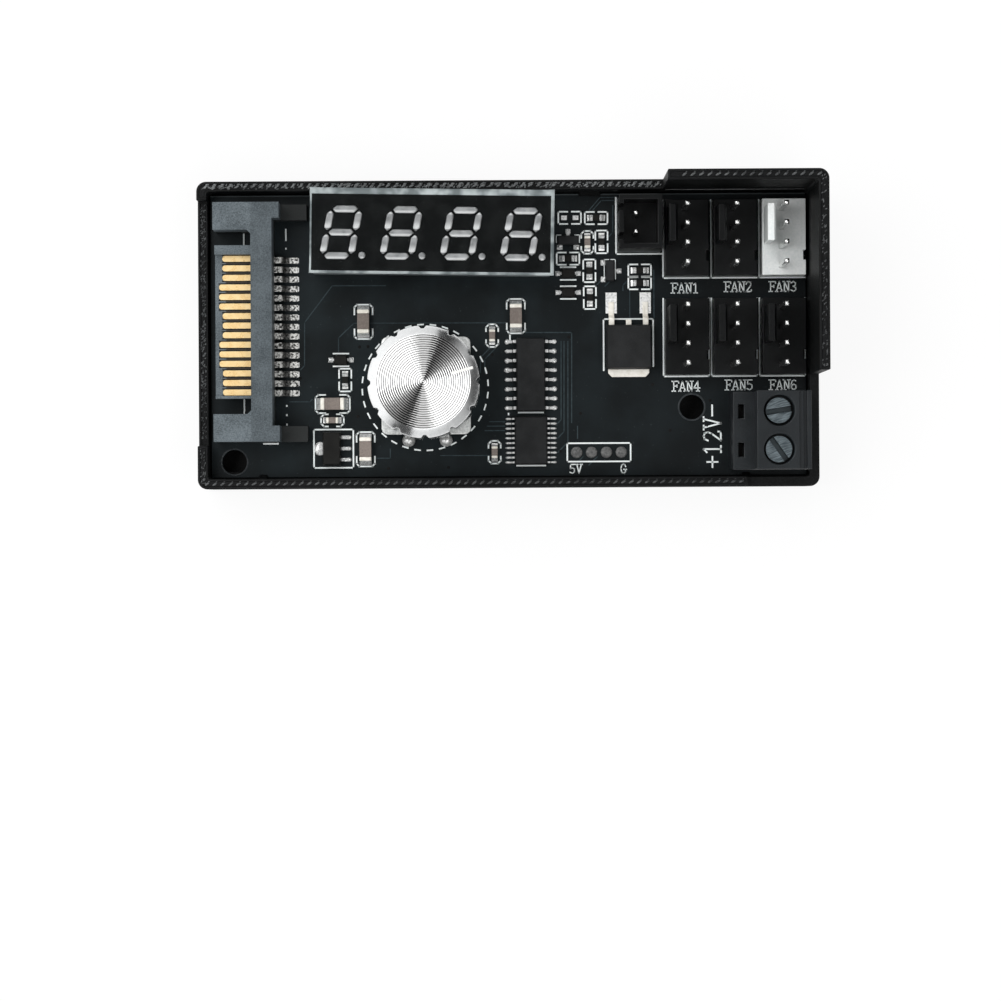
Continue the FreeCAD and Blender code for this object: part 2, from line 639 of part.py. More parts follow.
def sata_contacts():
    contacts = []
    group_middle = INLET_MIDDLE + TONGUE_CENTRE_OFFSET + CONTACT_GROUP_OFFSET
    first = group_middle + (CONTACT_COUNT - 1) / 2 * CONTACT_PITCH
    for i in range(CONTACT_COUNT):
        in_long_group = (i // 3) % 2 == 1
        setback = LONG_CONTACT_SETBACK if in_long_group else SHORT_CONTACT_SETBACK
        top = BOARD_TOP + TONGUE_TOP
        shoulder = BOARD_TOP + TAIL_SHOULDER_HEIGHT
        foot = BOARD_TOP + CONTACT_THICKNESS
        bend = BAR_LEFT + CONTACT_BEND_DEPTH
        ankle = BAR_RIGHT + TAIL_SHOULDER + TAIL_DROP
        path = [(INLET_LEFT + setback, top), (bend, top), (bend, shoulder),
                (BAR_RIGHT + TAIL_SHOULDER, shoulder), (ankle, foot), (ankle + TAIL_FOOT, foot)]
        middle = first - i * CONTACT_PITCH
        contacts.append(profile_along_y(ribbon(path, CONTACT_THICKNESS),
                                        middle - CONTACT_WIDTH / 2, middle + CONTACT_WIDTH / 2))
    return contacts


def sata_housing(contacts):
    low = BOARD_TOP + INLET_STANDOFF
    top = BOARD_TOP + INLET_HEIGHT
    housing = box(BAR_LEFT, BAR_RIGHT, INLET_FRONT, INLET_BACK, low, top)
    tongue_middle = INLET_MIDDLE + TONGUE_CENTRE_OFFSET
    tongue_front = tongue_middle - TONGUE_LENGTH / 2
    tongue_back = tongue_middle + TONGUE_LENGTH / 2
    tongue_left = INLET_LEFT + TONGUE_SETBACK
    face = BOARD_TOP + TONGUE_TOP
    solids = [box(INLET_LEFT, BAR_LEFT, INLET_BACK - ARM_WIDTH, INLET_BACK, low, top),
              box(INLET_LEFT, BAR_LEFT, INLET_FRONT, INLET_FRONT + ARM_WIDTH, low, top),
              box(tongue_left, BAR_LEFT, tongue_front, tongue_back, face - TONGUE_THICKNESS, face),
              box(tongue_left, BAR_LEFT, tongue_back - KEY_WIDTH, tongue_back, face, face + KEY_RISE),
              box(tongue_left, BAR_LEFT, tongue_front, tongue_front + TONGUE_BORDER,
                  face, face + TONGUE_BORDER)]
    for foot_front in (INLET_BACK - FOOT_WIDTH, INLET_FRONT):
        foot_back = foot_front + FOOT_WIDTH
        solids.append(box(BAR_RIGHT, BAR_RIGHT + FOOT_REACH, foot_front, foot_back,
                          BOARD_TOP, BOARD_TOP + FOOT_HEIGHT))
        solids.append(box(BAR_RIGHT, BAR_RIGHT + FOOT_SHOULDER, foot_front, foot_back, low, top))
    for arm_side, inward in ((INLET_BACK - ARM_WIDTH, -1), (INLET_FRONT + ARM_WIDTH, 1)):
        solids.append(prism([(BAR_LEFT, arm_side), (BAR_LEFT - ARM_CORNER_CHAMFER, arm_side),
                             (BAR_LEFT, arm_side + inward * ARM_CORNER_CHAMFER)], low, top))
    housing = housing.fuse(solids).removeSplitter()
    return housing.cut(Part.makeCompound(contacts))


def segment_outlines():
    """Seven slanted bars of one digit, each an elongated hexagon about the digit's centre."""
    half_w = (DIGIT_WIDTH - SEGMENT_WIDTH) / 2
    half_h = (DIGIT_HEIGHT - SEGMENT_WIDTH) / 2
    point = SEGMENT_WIDTH / 2

    def bar(x0, y0, x1, y1):
        length = math.hypot(x1 - x0, y1 - y0)
        ux, uy = (x1 - x0) / length, (y1 - y0) / length
        near = point + SEGMENT_GAP
        far = length - near
        spots = [(SEGMENT_GAP, 0), (near, point), (far, point),
                 (length - SEGMENT_GAP, 0), (far, -point), (near, -point)]
        lean = math.tan(math.radians(DIGIT_SLANT))
        outline = []
        for along, across in spots:
            x = x0 + ux * along - uy * across
            y = y0 + uy * along + ux * across
            outline.append((x + y * lean, y))
        return outline

    rows = [bar(-half_w, y, half_w, y) for y in (-half_h, 0, half_h)]
    sides = [bar(x, y, x, y + half_h) for x in (-half_w, half_w) for y in (-half_h, 0)]
    return rows + sides


def display_segments():
    solids = []
    top = BOARD_TOP + DISPLAY_HEIGHT
    for digit in range(DIGIT_COUNT):
        x = (digit - (DIGIT_COUNT - 1) / 2) * DIGIT_PITCH
        for outline in segment_outlines():
            spots = [display_spot(x + u, v) for u, v in outline]
            solids.append(prism(spots, top - SEGMENT_DEPTH, top))
        point_x, point_y = display_spot(x + POINT_OFFSET, -POINT_DROP)
        solids.append(disc(point_x, point_y, POINT_RADIUS, POINT_RADIUS, top - SEGMENT_DEPTH, top))
    return solids


def display_body(segments):
    body = block(DISPLAY_X, DISPLAY_Y, DISPLAY_LENGTH, DISPLAY_WIDTH, BOARD_TOP, BOARD_TOP + DISPLAY_HEIGHT)
    return turned(body, DISPLAY_SKEW, DISPLAY_X, DISPLAY_Y).cut(Part.makeCompound(segments))


def display_film():
    top = BOARD_TOP + DISPLAY_HEIGHT
    film = box(DISPLAY_LEFT - FILM_SIDE_OVERHANG, DISPLAY_RIGHT + FILM_SIDE_OVERHANG,
               DISPLAY_FRONT - FILM_FRONT_OVERHANG, DISPLAY_FRONT + DISPLAY_WIDTH + FILM_BACK_OVERHANG,
               top, top + FILM_THICKNESS)
    return turned(film, DISPLAY_SKEW, DISPLAY_X, DISPLAY_Y)


def encoder_pins():
    pins = []
    for x, y, side in encoder_pin_spots():
        wall = ENCODER_Y + side * BASE_HALF_DEPTH
        top = BOARD_TOP + ENCODER_PIN_EXIT
        outer = y + side * ENCODER_PIN_THICKNESS / 2
        inner = y - side * ENCODER_PIN_THICKNESS / 2
        low = top - ENCODER_PIN_THICKNESS
        section = [(wall, top), (outer, top), (outer, PIN_BOTTOM), (inner, PIN_BOTTOM),
                   (inner, low), (wall, low)]
        left = x - ENCODER_PIN_WIDTH / 2
        wire = Part.makePolygon([V(left, v, z) for v, z in section + section[:1]])
        pins.append(Part.Face(wire).extrude(V(ENCODER_PIN_WIDTH, 0, 0)))
    return pins


def encoder_solder(pins):
    """Solder fillets round the two switch pins."""
    joints = []
    for x, y, side in encoder_pin_spots():
        if side < 0:
            fillet = disc(x, y, SOLDER_RADIUS, SOLDER_TOP_RADIUS, BOARD_TOP, BOARD_TOP + SOLDER_HEIGHT)
            joints.append(fillet.cut(Part.makeCompound(pins)))
    return joints


def encoder_base():
    width = ENCODER_WIDTH - 2 * (BRACKET_THICKNESS + SEAT_CLEARANCE)
    base = block(ENCODER_X, ENCODER_Y, width, 2 * BASE_HALF_DEPTH, BOARD_TOP, BASE_TOP)
    pocket = 2 * (ROTOR_RADIUS + ROTOR_CLEARANCE)
    base = base.cut(block(ENCODER_X, ENCODER_Y, pocket, pocket, WELL_TOP, BASE_TOP))
    return base.cut(rod(ENCODER_X, ENCODER_Y, SWITCH_WELL_RADIUS, WELL_FLOOR, WELL_TOP))


def encoder_bushing():
    width = ENCODER_WIDTH - 2 * (BRACKET_THICKNESS + SEAT_CLEARANCE)
    flange = block(ENCODER_X, ENCODER_Y, width, 2 * BASE_HALF_DEPTH, BASE_TOP, FLANGE_TOP)
    bushing = flange.fuse(rod(ENCODER_X, ENCODER_Y, BUSHING_RADIUS, FLANGE_TOP, BUSHING_TOP))
    return bushing.cut(rod(ENCODER_X, ENCODER_Y, SHAFT_RADIUS + SHAFT_CLEARANCE, BASE_TOP, BUSHING_TOP))


def encoder_bracket():
    sheet = block(ENCODER_X, ENCODER_Y, ENCODER_WIDTH, ENCODER_DEPTH, FLANGE_TOP, ENCODER_TOP)
    legs = []
    for side in (-1, 1):
        x = ENCODER_X + side * lug_x()
        legs.append(block(x, ENCODER_Y, BRACKET_THICKNESS, BRACKET_LEG_WIDTH, BOARD_TOP, FLANGE_TOP))
        legs.append(block(x, ENCODER_Y, BRACKET_THICKNESS, BRACKET_LUG_WIDTH, PIN_BOTTOM, BOARD_TOP))
    bracket = sheet.fuse(legs).removeSplitter()
    return bracket.cut(rod(ENCODER_X, ENCODER_Y, BUSHING_RADIUS + BUSHING_CLEARANCE, FLANGE_TOP, ENCODER_TOP))


def shaft_flat(radius, z0, z1):
    """Round section with one flat, facing +Y."""
    flat_y = ENCODER_Y + SHAFT_RADIUS - SHAFT_FLAT_DEPTH + radius - SHAFT_RADIUS
    section = rod(ENCODER_X, ENCODER_Y, radius, z0, z1)
    return section.cut(box(ENCODER_X - radius, ENCODER_X + radius, flat_y, ENCODER_Y + 2 * radius, z0, z1))


def spindle(clearance, z0, z1):
    """Lower end of the shaft, with two flats that turn the rotor."""
    radius = SPINDLE_RADIUS + clearance
    section = rod(ENCODER_X, ENCODER_Y, radius, z0, z1)
    return section.common(block(ENCODER_X, ENCODER_Y, 2 * radius, 2 * (SPINDLE_FLAT + clearance), z0, z1))


def encoder_shaft():
    flat_start = SHAFT_TOP - SHAFT_FLAT_LENGTH
    shaft = rod(ENCODER_X, ENCODER_Y, SHAFT_RADIUS, BASE_TOP + PRESS_TRAVEL, flat_start)
    return shaft.fuse([shaft_flat(SHAFT_RADIUS, flat_start, SHAFT_TOP),
                       spindle(0, SPINDLE_BOTTOM, BASE_TOP + PRESS_TRAVEL)]).removeSplitter()


def encoder_rotor():
    rotor = rod(ENCODER_X, ENCODER_Y, ROTOR_RADIUS, ROTOR_BOTTOM, ROTOR_TOP)
    return rotor.cut(spindle(SHAFT_CLEARANCE, ROTOR_BOTTOM, ROTOR_TOP))


def encoder_detent_spring():
    """Flat spring frame under the bushing flange, round the shaft."""
    outer = 2 * ROTOR_RADIUS
    inner = 2 * (SHAFT_RADIUS + ROTOR_CLEARANCE)
    frame = block(ENCODER_X, ENCODER_Y, outer, outer, BASE_TOP - DETENT_THICKNESS, BASE_TOP)
    return frame.cut(block(ENCODER_X, ENCODER_Y, inner, inner, BASE_TOP - DETENT_THICKNESS, BASE_TOP))


def switch_plunger():
    return rod(ENCODER_X, ENCODER_Y, PLUNGER_RADIUS, PLUNGER_BOTTOM, PLUNGER_TOP)


def switch_dome():
    """Snap dome with four sprung legs on the floor of the switch well."""
    top = WELL_FLOOR + DOME_RISE
    path = [(ENCODER_X - DOME_RADIUS, WELL_FLOOR + DOME_THICKNESS), (ENCODER_X - DOME_TOP_RADIUS, top),
            (ENCODER_X + DOME_TOP_RADIUS, top), (ENCODER_X + DOME_RADIUS, WELL_FLOOR + DOME_THICKNESS)]
    outline = ribbon(path, DOME_THICKNESS)
    strip = profile_along_y(outline, ENCODER_Y - DOME_LEG_WIDTH / 2, ENCODER_Y + DOME_LEG_WIDTH / 2)
    return strip.fuse(turned(strip, 90, ENCODER_X, ENCODER_Y)).removeSplitter()


def knob():
    profile = [(0, KNOB_BOTTOM), (KNOB_RADIUS, KNOB_BOTTOM), (KNOB_RADIUS, KNOB_TOP - KNOB_BEVEL_HEIGHT),
               (KNOB_FACE_RADIUS, KNOB_TOP), (0, KNOB_TOP)]
    wire = Part.makePolygon([V(ENCODER_X + r, ENCODER_Y, z) for r, z in profile + profile[:1]])
    body = Part.Face(wire).revolve(V(ENCODER_X, ENCODER_Y, 0), V(0, 0, 1), 360)
    cuts = [rod(ENCODER_X, ENCODER_Y, KNOB_RECESS_RADIUS, KNOB_BOTTOM, KNOB_RECESS_TOP),
            shaft_flat(SHAFT_RADIUS + KNOB_BORE_CLEARANCE, KNOB_RECESS_TOP, SHAFT_TOP + KNOB_BORE_CLEARANCE)]
    rim = ENCODER_X + KNOB_RADIUS
    flute = [(rim - FLUTE_DEPTH, ENCODER_Y - FLUTE_FLOOR / 2), (rim + FLUTE_DEPTH, ENCODER_Y - FLUTE_WIDTH),
             (rim + FLUTE_DEPTH, ENCODER_Y + FLUTE_WIDTH), (rim - FLUTE_DEPTH, ENCODER_Y + FLUTE_FLOOR / 2)]
    for i in range(KNOB_FLUTES):
        cuts.append(turned(prism(flute, KNOB_BOTTOM, KNOB_TOP), FLUTE_PHASE + i * 360 / KNOB_FLUTES,
                           ENCODER_X, ENCODER_Y))
    pointer = box(ENCODER_X + POINTER_START, ENCODER_X + KNOB_FACE_RADIUS,
                  ENCODER_Y - POINTER_WIDTH / 2, ENCODER_Y + POINTER_WIDTH / 2,
                  KNOB_TOP - POINTER_DEPTH, KNOB_TOP)
    cuts.append(turned(pointer, POINTER_ANGLE, ENCODER_X, ENCODER_Y))
    return body.cut(cuts)


def fan_header(number):
    left, middle = fan_left_and_middle(number)
    front = middle - FAN_LENGTH / 2
    back = middle + FAN_LENGTH / 2
    right = left + FAN_WIDTH
    top = BOARD_TOP + FAN_BASE_HEIGHT
    base = box(left, right, front, back, BOARD_TOP, top)
    notch = front + BASE_NOTCH_FROM_FRONT
    base = base.cut(box(right - BASE_NOTCH_DEPTH, right, notch, notch + BASE_NOTCH_WIDTH, BOARD_TOP, top))
    # The lock tab covers three pins and hooks over the plug at its tip
    tab_left = left + LOCK_TAB_INSET
    tab_right = tab_left + LOCK_TAB_THICKNESS
    tip = BOARD_TOP + LOCK_TAB_RISE
    section = [(tab_left, top), (tab_right, top), (tab_right, tip - 3 * LOCK_TAB_HOOK),
               (tab_right + LOCK_TAB_HOOK, tip - 2 * LOCK_TAB_HOOK), (tab_right, tip), (tab_left, tip)]
    tab_back = back - LOCK_TAB_FROM_BACK
    housing = base.fuse(profile_along_y(section, tab_back - LOCK_TAB_LENGTH, tab_back)).removeSplitter()
    holes = [block(x, y, FAN_PIN_SIDE, FAN_PIN_SIDE, BOARD_TOP, top) for x, y in fan_pin_spots(number)]
    return housing.cut(holes)


def fan_pins(number):
    tip = BOARD_TOP + FAN_PIN_RISE
    return [square_pin(x, y, FAN_PIN_SIDE, PIN_BOTTOM, tip) for x, y in fan_pin_spots(number)]


def aux_header():
    right = AUX_LEFT + AUX_WIDTH
    front = AUX_Y - AUX_LENGTH / 2
    back = AUX_Y + AUX_LENGTH / 2
    floor = BOARD_TOP + AUX_FLOOR
    top = BOARD_TOP + AUX_HEIGHT
    shroud = box(AUX_LEFT, right, front, back, BOARD_TOP, top)
    cuts = [box(AUX_LEFT + AUX_WALL, right - AUX_WALL, front + AUX_WALL, back - AUX_WALL, floor, top)]
    for side in (-1, 1):
        y = AUX_Y + side * AUX_SLIT_OFFSET
        cuts.append(block(AUX_LEFT + AUX_WALL / 2, y, AUX_WALL, AUX_SLIT_WIDTH, floor, top))
    cuts += [block(x, y, FAN_PIN_SIDE, FAN_PIN_SIDE, BOARD_TOP, floor) for x, y in aux_pin_spots()]
    return shroud.cut(cuts)


def aux_header_pins():
    return [square_pin(x, y, FAN_PIN_SIDE, PIN_BOTTOM, BOARD_TOP + AUX_PIN_RISE) for x, y in aux_pin_spots()]


def terminal_housing():
    front = TERMINAL_Y - TERMINAL_LENGTH / 2
    back = TERMINAL_Y + TERMINAL_LENGTH / 2
    body_left = TERMINAL_LEFT + TERMINAL_LEDGE_DEPTH
    lip_left = body_left + TERMINAL_BODY_DEPTH
    ledge_top = BOARD_TOP + TERMINAL_LEDGE_HEIGHT
    body_top = BOARD_TOP + TERMINAL_HEIGHT
    lip_top = BOARD_TOP + TERMINAL_LIP_HEIGHT
    groove = lip_left + (TERMINAL_LIP_DEPTH - LIP_GROOVE_WIDTH) / 2
    section = [(TERMINAL_LEFT, BOARD_TOP), (TERMINAL_RIGHT, BOARD_TOP), (TERMINAL_RIGHT, lip_top),
               (groove + LIP_GROOVE_WIDTH, lip_top), (groove + LIP_GROOVE_WIDTH, lip_top - LIP_GROOVE_DEPTH),
               (groove, lip_top - LIP_GROOVE_DEPTH), (groove, lip_top), (lip_left, lip_top),
               (lip_left, body_top), (body_left, body_top), (body_left, ledge_top),
               (TERMINAL_LEFT, ledge_top)]
    housing = profile_along_y(section, front, back)
    chamber_length = CAGE_LENGTH + 2 * CAGE_SIDE_GAP
    chamber_width = CAGE_WIDTH + 2 * CAGE_SIDE_GAP
    cuts = []
    for y in pole_middles():
        sill = BOARD_TOP + WIRE_HOLE_SILL
        cuts += [rod(SCREW_X, y, SCREW_WELL_RADIUS, SCREW_HEAD_SEAT, body_top),
                 rod(SCREW_X, y, SCREW_SHANK_RADIUS + SCREW_CLEARANCE, CHAMBER_TOP, SCREW_HEAD_SEAT),
                 block(SCREW_X, y, chamber_length, chamber_width, BOARD_TOP, CHAMBER_TOP),
                 box(SCREW_X, TERMINAL_RIGHT, y - WIRE_HOLE_WIDTH / 2, y + WIRE_HOLE_WIDTH / 2,
                     sill, sill + WIRE_HOLE_HEIGHT),
                 block(TEST_SLOT_X, y, TEST_SLOT_WIDTH, TEST_SLOT_LENGTH, BOARD_TOP, ledge_top),
                 box(TEST_SLOT_X, SCREW_X, y - CONTACT_BAR_WIDTH / 2, y + CONTACT_BAR_WIDTH / 2,
                     BAR_BOTTOM, BAR_TOP)]
    return housing.cut(cuts)


def terminal_screw(pole):
    y = pole_middles()[pole]
    screw = rod(SCREW_X, y, SCREW_HEAD_RADIUS, SCREW_HEAD_SEAT, SCREW_HEAD_TOP)
    screw = screw.fuse(rod(SCREW_X, y, SCREW_SHANK_RADIUS, BAR_TOP + SEAT_CLEARANCE, SCREW_HEAD_SEAT))
    slot_floor = SCREW_HEAD_TOP - SCREW_SLOT_DEPTH
    slot = block(SCREW_X, y, 2 * SCREW_HEAD_RADIUS, SCREW_SLOT_WIDTH, slot_floor, SCREW_HEAD_TOP)
    return screw.removeSplitter().cut(turned(slot, SCREW_SLOT_ANGLES[pole], SCREW_X, y))


def terminal_cage(pole):
    """Rising clamp: a square ring, open along X, with the screw through its top."""
    y = pole_middles()[pole]
    ring = block(SCREW_X, y, CAGE_LENGTH, CAGE_WIDTH, CAGE_BOTTOM, CAGE_TOP)
    window = block(SCREW_X, y, CAGE_LENGTH, CAGE_WIDTH - 2 * CAGE_WALL,
                   CAGE_BOTTOM + CAGE_WALL, CAGE_TOP - CAGE_WALL)
    hole = rod(SCREW_X, y, SCREW_SHANK_RADIUS + SCREW_CLEARANCE, CAGE_TOP - CAGE_WALL, CAGE_TOP)
    return ring.cut([window, hole])


def terminal_contacts():
    """Fixed bars under the screw tips, each bent down into a board pin."""
    bars = []
    for y in pole_middles():
        leg_left = TEST_SLOT_X - CONTACT_LEG_THICKNESS / 2
        section = [(leg_left, PIN_BOTTOM), (leg_left + CONTACT_LEG_THICKNESS, PIN_BOTTOM),
                   (leg_left + CONTACT_LEG_THICKNESS, BAR_BOTTOM), (SCREW_X + CAGE_LENGTH / 2, BAR_BOTTOM),
                   (SCREW_X + CAGE_LENGTH / 2, BAR_TOP), (leg_left, BAR_TOP)]
        bars.append(profile_along_y(section, y - CONTACT_BAR_WIDTH / 2, y + CONTACT_BAR_WIDTH / 2))
    return bars


def dual_row_leads(x, y, width, height, count, pitch, lead_width, span):
    leads = []
    for i in range(count):
        offset = (i - (count - 1) / 2) * pitch
        leads.append(gull_lead(x, y + offset, width / 2, span / 2, lead_width, height, 0))
        leads.append(gull_lead(x, y + offset, width / 2, span / 2, lead_width, height, 180))
    return leads


def driver_spot():
    return (ENCODER_X + DRIVER_RIGHT_OF_ENCODER,
            DISPLAY_FRONT - DRIVER_IN_FRONT_OF_DISPLAY - DRIVER_LENGTH / 2)


def controller_spot():
    x, y = driver_spot()
    return x, y - DRIVER_LENGTH / 2 - CHIP_GAP - CONTROLLER_LENGTH / 2


def mosfet_spot():
    return FANS_LEFT + FAN_PIN_INSET - MOSFET_LEFT_OF_HEADERS, MOSFET_BEHIND_MIDDLE


def mosfet_leadframe():
    x, y = mosfet_spot()
    back = y + MOSFET_LENGTH / 2
    front = y - MOSFET_LENGTH / 2
    tab = [(x - MOSFET_TAB_WIDTH / 2, front), (x + MOSFET_TAB_WIDTH / 2, front),
           (x + MOSFET_TAB_WIDTH / 2, front - MOSFET_TAB_REACH + MOSFET_TAB_CHAMFER),
           (x + MOSFET_TAB_WIDTH / 2 - MOSFET_TAB_CHAMFER, front - MOSFET_TAB_REACH),
           (x - MOSFET_TAB_WIDTH / 2 + MOSFET_TAB_CHAMFER, front - MOSFET_TAB_REACH),
           (x - MOSFET_TAB_WIDTH / 2, front - MOSFET_TAB_REACH + MOSFET_TAB_CHAMFER)]
    solids = [prism(tab, BOARD_TOP, BOARD_TOP + MOSFET_TAB_THICKNESS)]
    reach = MOSFET_LENGTH / 2
    for side in (-1, 1):
        solids.append(gull_lead(x + side * MOSFET_LEAD_PITCH, y, reach, reach + MOSFET_LEAD_REACH,
                                MOSFET_LEAD_WIDTH, MOSFET_HEIGHT, 90))
    stub_z = BOARD_TOP + MOSFET_HEIGHT / 2 - LEAD_THICKNESS / 2
    solids.append(box(x - MOSFET_LEAD_WIDTH / 2, x + MOSFET_LEAD_WIDTH / 2, back, back + MOSFET_STUB,
                      stub_z, stub_z + LEAD_THICKNESS))
    return solids


def regulator_spot():
    return ENCODER_X - REGULATOR_LEFT_OF_ENCODER, ENCODER_Y - REGULATOR_IN_FRONT_OF_ENCODER


def regulator_leadframe():
    x, y = regulator_spot()
    top = BOARD_TOP + 2 * LEAD_THICKNESS
    lead_x = x + (REGULATOR_WIDTH + REGULATOR_LEAD_REACH) / 2
    tab_x = x - (REGULATOR_WIDTH + REGULATOR_TAB_REACH) / 2
    solids = []
    for i in (-1, 0, 1):
        solids.append(block(lead_x, y + i * REGULATOR_LEAD_PITCH, REGULATOR_LEAD_REACH, REGULATOR_LEAD_WIDTH,
                            BOARD_TOP, top))
    solids.append(block(tab_x, y, REGULATOR_TAB_REACH, REGULATOR_TAB_WIDTH, BOARD_TOP, top))
    return solids


def by_encoder(places):
    """(x, y, angle) of parts placed from the encoder's axis."""
    return [(ENCODER_X + right, ENCODER_Y + behind, angle) for right, behind, angle in places]


def by_field(places):
    """(x, y, angle) of parts placed from the display's right end and the shrouded header's middle."""
    return [(DISPLAY_RIGHT + right, AUX_Y - in_front, angle) for right, in_front, angle in places]


def chip_bodies(places, size, end):
    length, width, height = size
    solids = []
    for x, y, angle in places:
        body = block(x, y, length - 2 * end, width, BOARD_TOP, BOARD_TOP + height)
        solids.append(turned(body, angle, x, y))
    return solids


def chip_ends(places, size, end):
    length, width, height = size
    solids = []
    for x, y, angle in places:
        for side in (-1, 1):
            cap = block(x + side * (length - end) / 2, y, end, width, BOARD_TOP, BOARD_TOP + height)
            solids.append(turned(cap, angle, x, y))
    return solids


def transistor_bodies(places):
    return [turned(drafted_body(x, y, SMALL_OUTLINE_WIDTH, SMALL_OUTLINE_LENGTH, BOARD_TOP + CHIP_STANDOFF,
                                BOARD_TOP + SMALL_OUTLINE_HEIGHT), angle, x, y)
            for x, y, angle in places]


def transistor_leads(places):
    """One lead on the +X side before turning, two on the other side."""
    leads = []
    half = SMALL_OUTLINE_WIDTH / 2
    reach = SMALL_OUTLINE_SPAN / 2
    for x, y, angle in places:
        for offset, side in ((0, 0), (-SMALL_OUTLINE_PITCH / 2, 180), (SMALL_OUTLINE_PITCH / 2, 180)):
            lead = gull_lead(x, y + offset, half, reach, SMALL_OUTLINE_LEAD, SMALL_OUTLINE_HEIGHT, side)
            leads.append(turned(lead, angle, x, y))
    return leads


def diode_bodies(places):
    return [turned(drafted_body(x, y, DIODE_LENGTH, DIODE_WIDTH, BOARD_TOP + CHIP_STANDOFF,
                                BOARD_TOP + DIODE_HEIGHT), angle, x, y)
            for x, y, angle in places]


def diode_leads(places):
    return [gull_lead(x, y, DIODE_LENGTH / 2, DIODE_SPAN / 2, DIODE_LEAD, DIODE_HEIGHT, angle + side)
            for x, y, angle in places for side in (0, 180)]


def package(spot, width, length, height):
    x, y = spot
    return drafted_body(x, y, width, length, BOARD_TOP + CHIP_STANDOFF, BOARD_TOP + height)


def save(name, shapes):
    solids = shapes if isinstance(shapes, list) else [shapes]
    shape = solids[0] if len(solids) == 1 else Part.makeCompound(solids)
    shape.exportStep("parts/" + name + ".step")


def main():
    os.makedirs("parts", exist_ok=True)
    save("case_tray", case_tray())
    save("circuit_board", circuit_board())
    save("wire_pads", [disc(x, y, PAD_RADIUS, PAD_TOP_RADIUS, BOARD_TOP, BOARD_TOP + PAD_SOLDER_RISE)
                       for x, y in pad_spots()])

    contacts = sata_contacts()
    save("sata_contacts", contacts)
    save("sata_housing", sata_housing(contacts))

    segments = display_segments()
    save("display_segments", segments)
    save("display_body", display_body(segments))
    save("display_film", display_film())
    save("display_pins", [block(x, y, DISPLAY_PIN_SIDE, DISPLAY_PIN_SIDE, PIN_BOTTOM, BOARD_TOP)
                          for x, y in display_pin_spots()])

    pins = encoder_pins()
    save("encoder_pins", pins)
    save("encoder_solder", encoder_solder(pins))
    save("encoder_base", encoder_base())
    save("encoder_bushing", encoder_bushing())
    save("encoder_bracket", encoder_bracket())
    save("encoder_shaft", encoder_shaft())
    save("encoder_rotor", encoder_rotor())
    save("encoder_detent_spring", encoder_detent_spring())
    save("switch_plunger", switch_plunger())
    save("switch_dome", switch_dome())
    save("knob", knob())

    for number in range(1, FAN_COLUMNS * FAN_ROWS + 1):
        save(f"fan_header_{number}", fan_header(number))
        save(f"fan_pins_{number}", fan_pins(number))
    save("aux_header", aux_header())
    save("aux_header_pins", aux_header_pins())

    save("terminal_housing", terminal_housing())
    save("terminal_contacts", terminal_contacts())
    for pole in (0, 1):
        save(f"terminal_screw_{pole + 1}", terminal_screw(pole))
        save(f"terminal_cage_{pole + 1}", terminal_cage(pole))

    x, y = driver_spot()
    save("driver_chip_body", package((x, y), DRIVER_WIDTH, DRIVER_LENGTH, DRIVER_HEIGHT))
    save("driver_chip_leads", dual_row_leads(x, y, DRIVER_WIDTH, DRIVER_HEIGHT, DRIVER_LEADS_A_SIDE,
                                             DRIVER_PITCH, DRIVER_LEAD_WIDTH, DRIVER_SPAN))
    x, y = controller_spot()
    save("controller_chip_body", package((x, y), CONTROLLER_WIDTH, CONTROLLER_LENGTH, CONTROLLER_HEIGHT))
    save("controller_chip_leads", dual_row_leads(x, y, CONTROLLER_WIDTH, CONTROLLER_HEIGHT,
                                                 CONTROLLER_LEADS_A_SIDE, CONTROLLER_PITCH,
                                                 CONTROLLER_LEAD_WIDTH, CONTROLLER_SPAN))
    save("mosfet_body", package(mosfet_spot(), MOSFET_WIDTH, MOSFET_LENGTH, MOSFET_HEIGHT))
    save("mosfet_leadframe", mosfet_leadframe())
    save("regulator_body", package(regulator_spot(), REGULATOR_WIDTH, REGULATOR_LENGTH, REGULATOR_HEIGHT))
    save("regulator_leadframe", regulator_leadframe())
    transistors = by_field(FIELD_TRANSISTORS)
    save("transistor_bodies", transistor_bodies(transistors))
    save("transistor_leads", transistor_leads(transistors))
    diodes = by_field(FIELD_DIODES) + by_encoder([ENCODER_DIODE])
    save("diode_bodies", diode_bodies(diodes))
    save("diode_leads", diode_leads(diodes))
    large = by_encoder(ENCODER_LARGE_CAPACITORS)
    save("large_capacitor_bodies", chip_bodies(large, LARGE_CHIP, LARGE_CHIP_END))
    save("large_capacitor_ends", chip_ends(large, LARGE_CHIP, LARGE_CHIP_END))
    small = by_encoder(ENCODER_SMALL_CAPACITORS) + by_field([FIELD_CAPACITOR])
    save("small_capacitor_bodies", chip_bodies(small, SMALL_CHIP, CHIP_END))
    save("small_capacitor_ends", chip_ends(small, SMALL_CHIP, CHIP_END))
    resistors = by_field(FIELD_RESISTORS) + by_encoder([ENCODER_RESISTOR])
    save("resistor_bodies", chip_bodies(resistors, RESISTOR_CHIP, CHIP_END))
    save("resistor_ends", chip_ends(resistors, RESISTOR_CHIP, CHIP_END))


main()
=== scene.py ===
# %% [markdown]
# # A fan speed controller, dressed for the camera
# The imported solids arrive as a fixed frame in metres. This lesson gives them softened edges, solder,
# printed lettering and finishes, some with light and shade painted into their colour, and then sets up
# a copy-stand view from straight above.

# %% Load the frame
import bmesh
import bpy
import json
import math
import random
from mathutils import Matrix, Vector


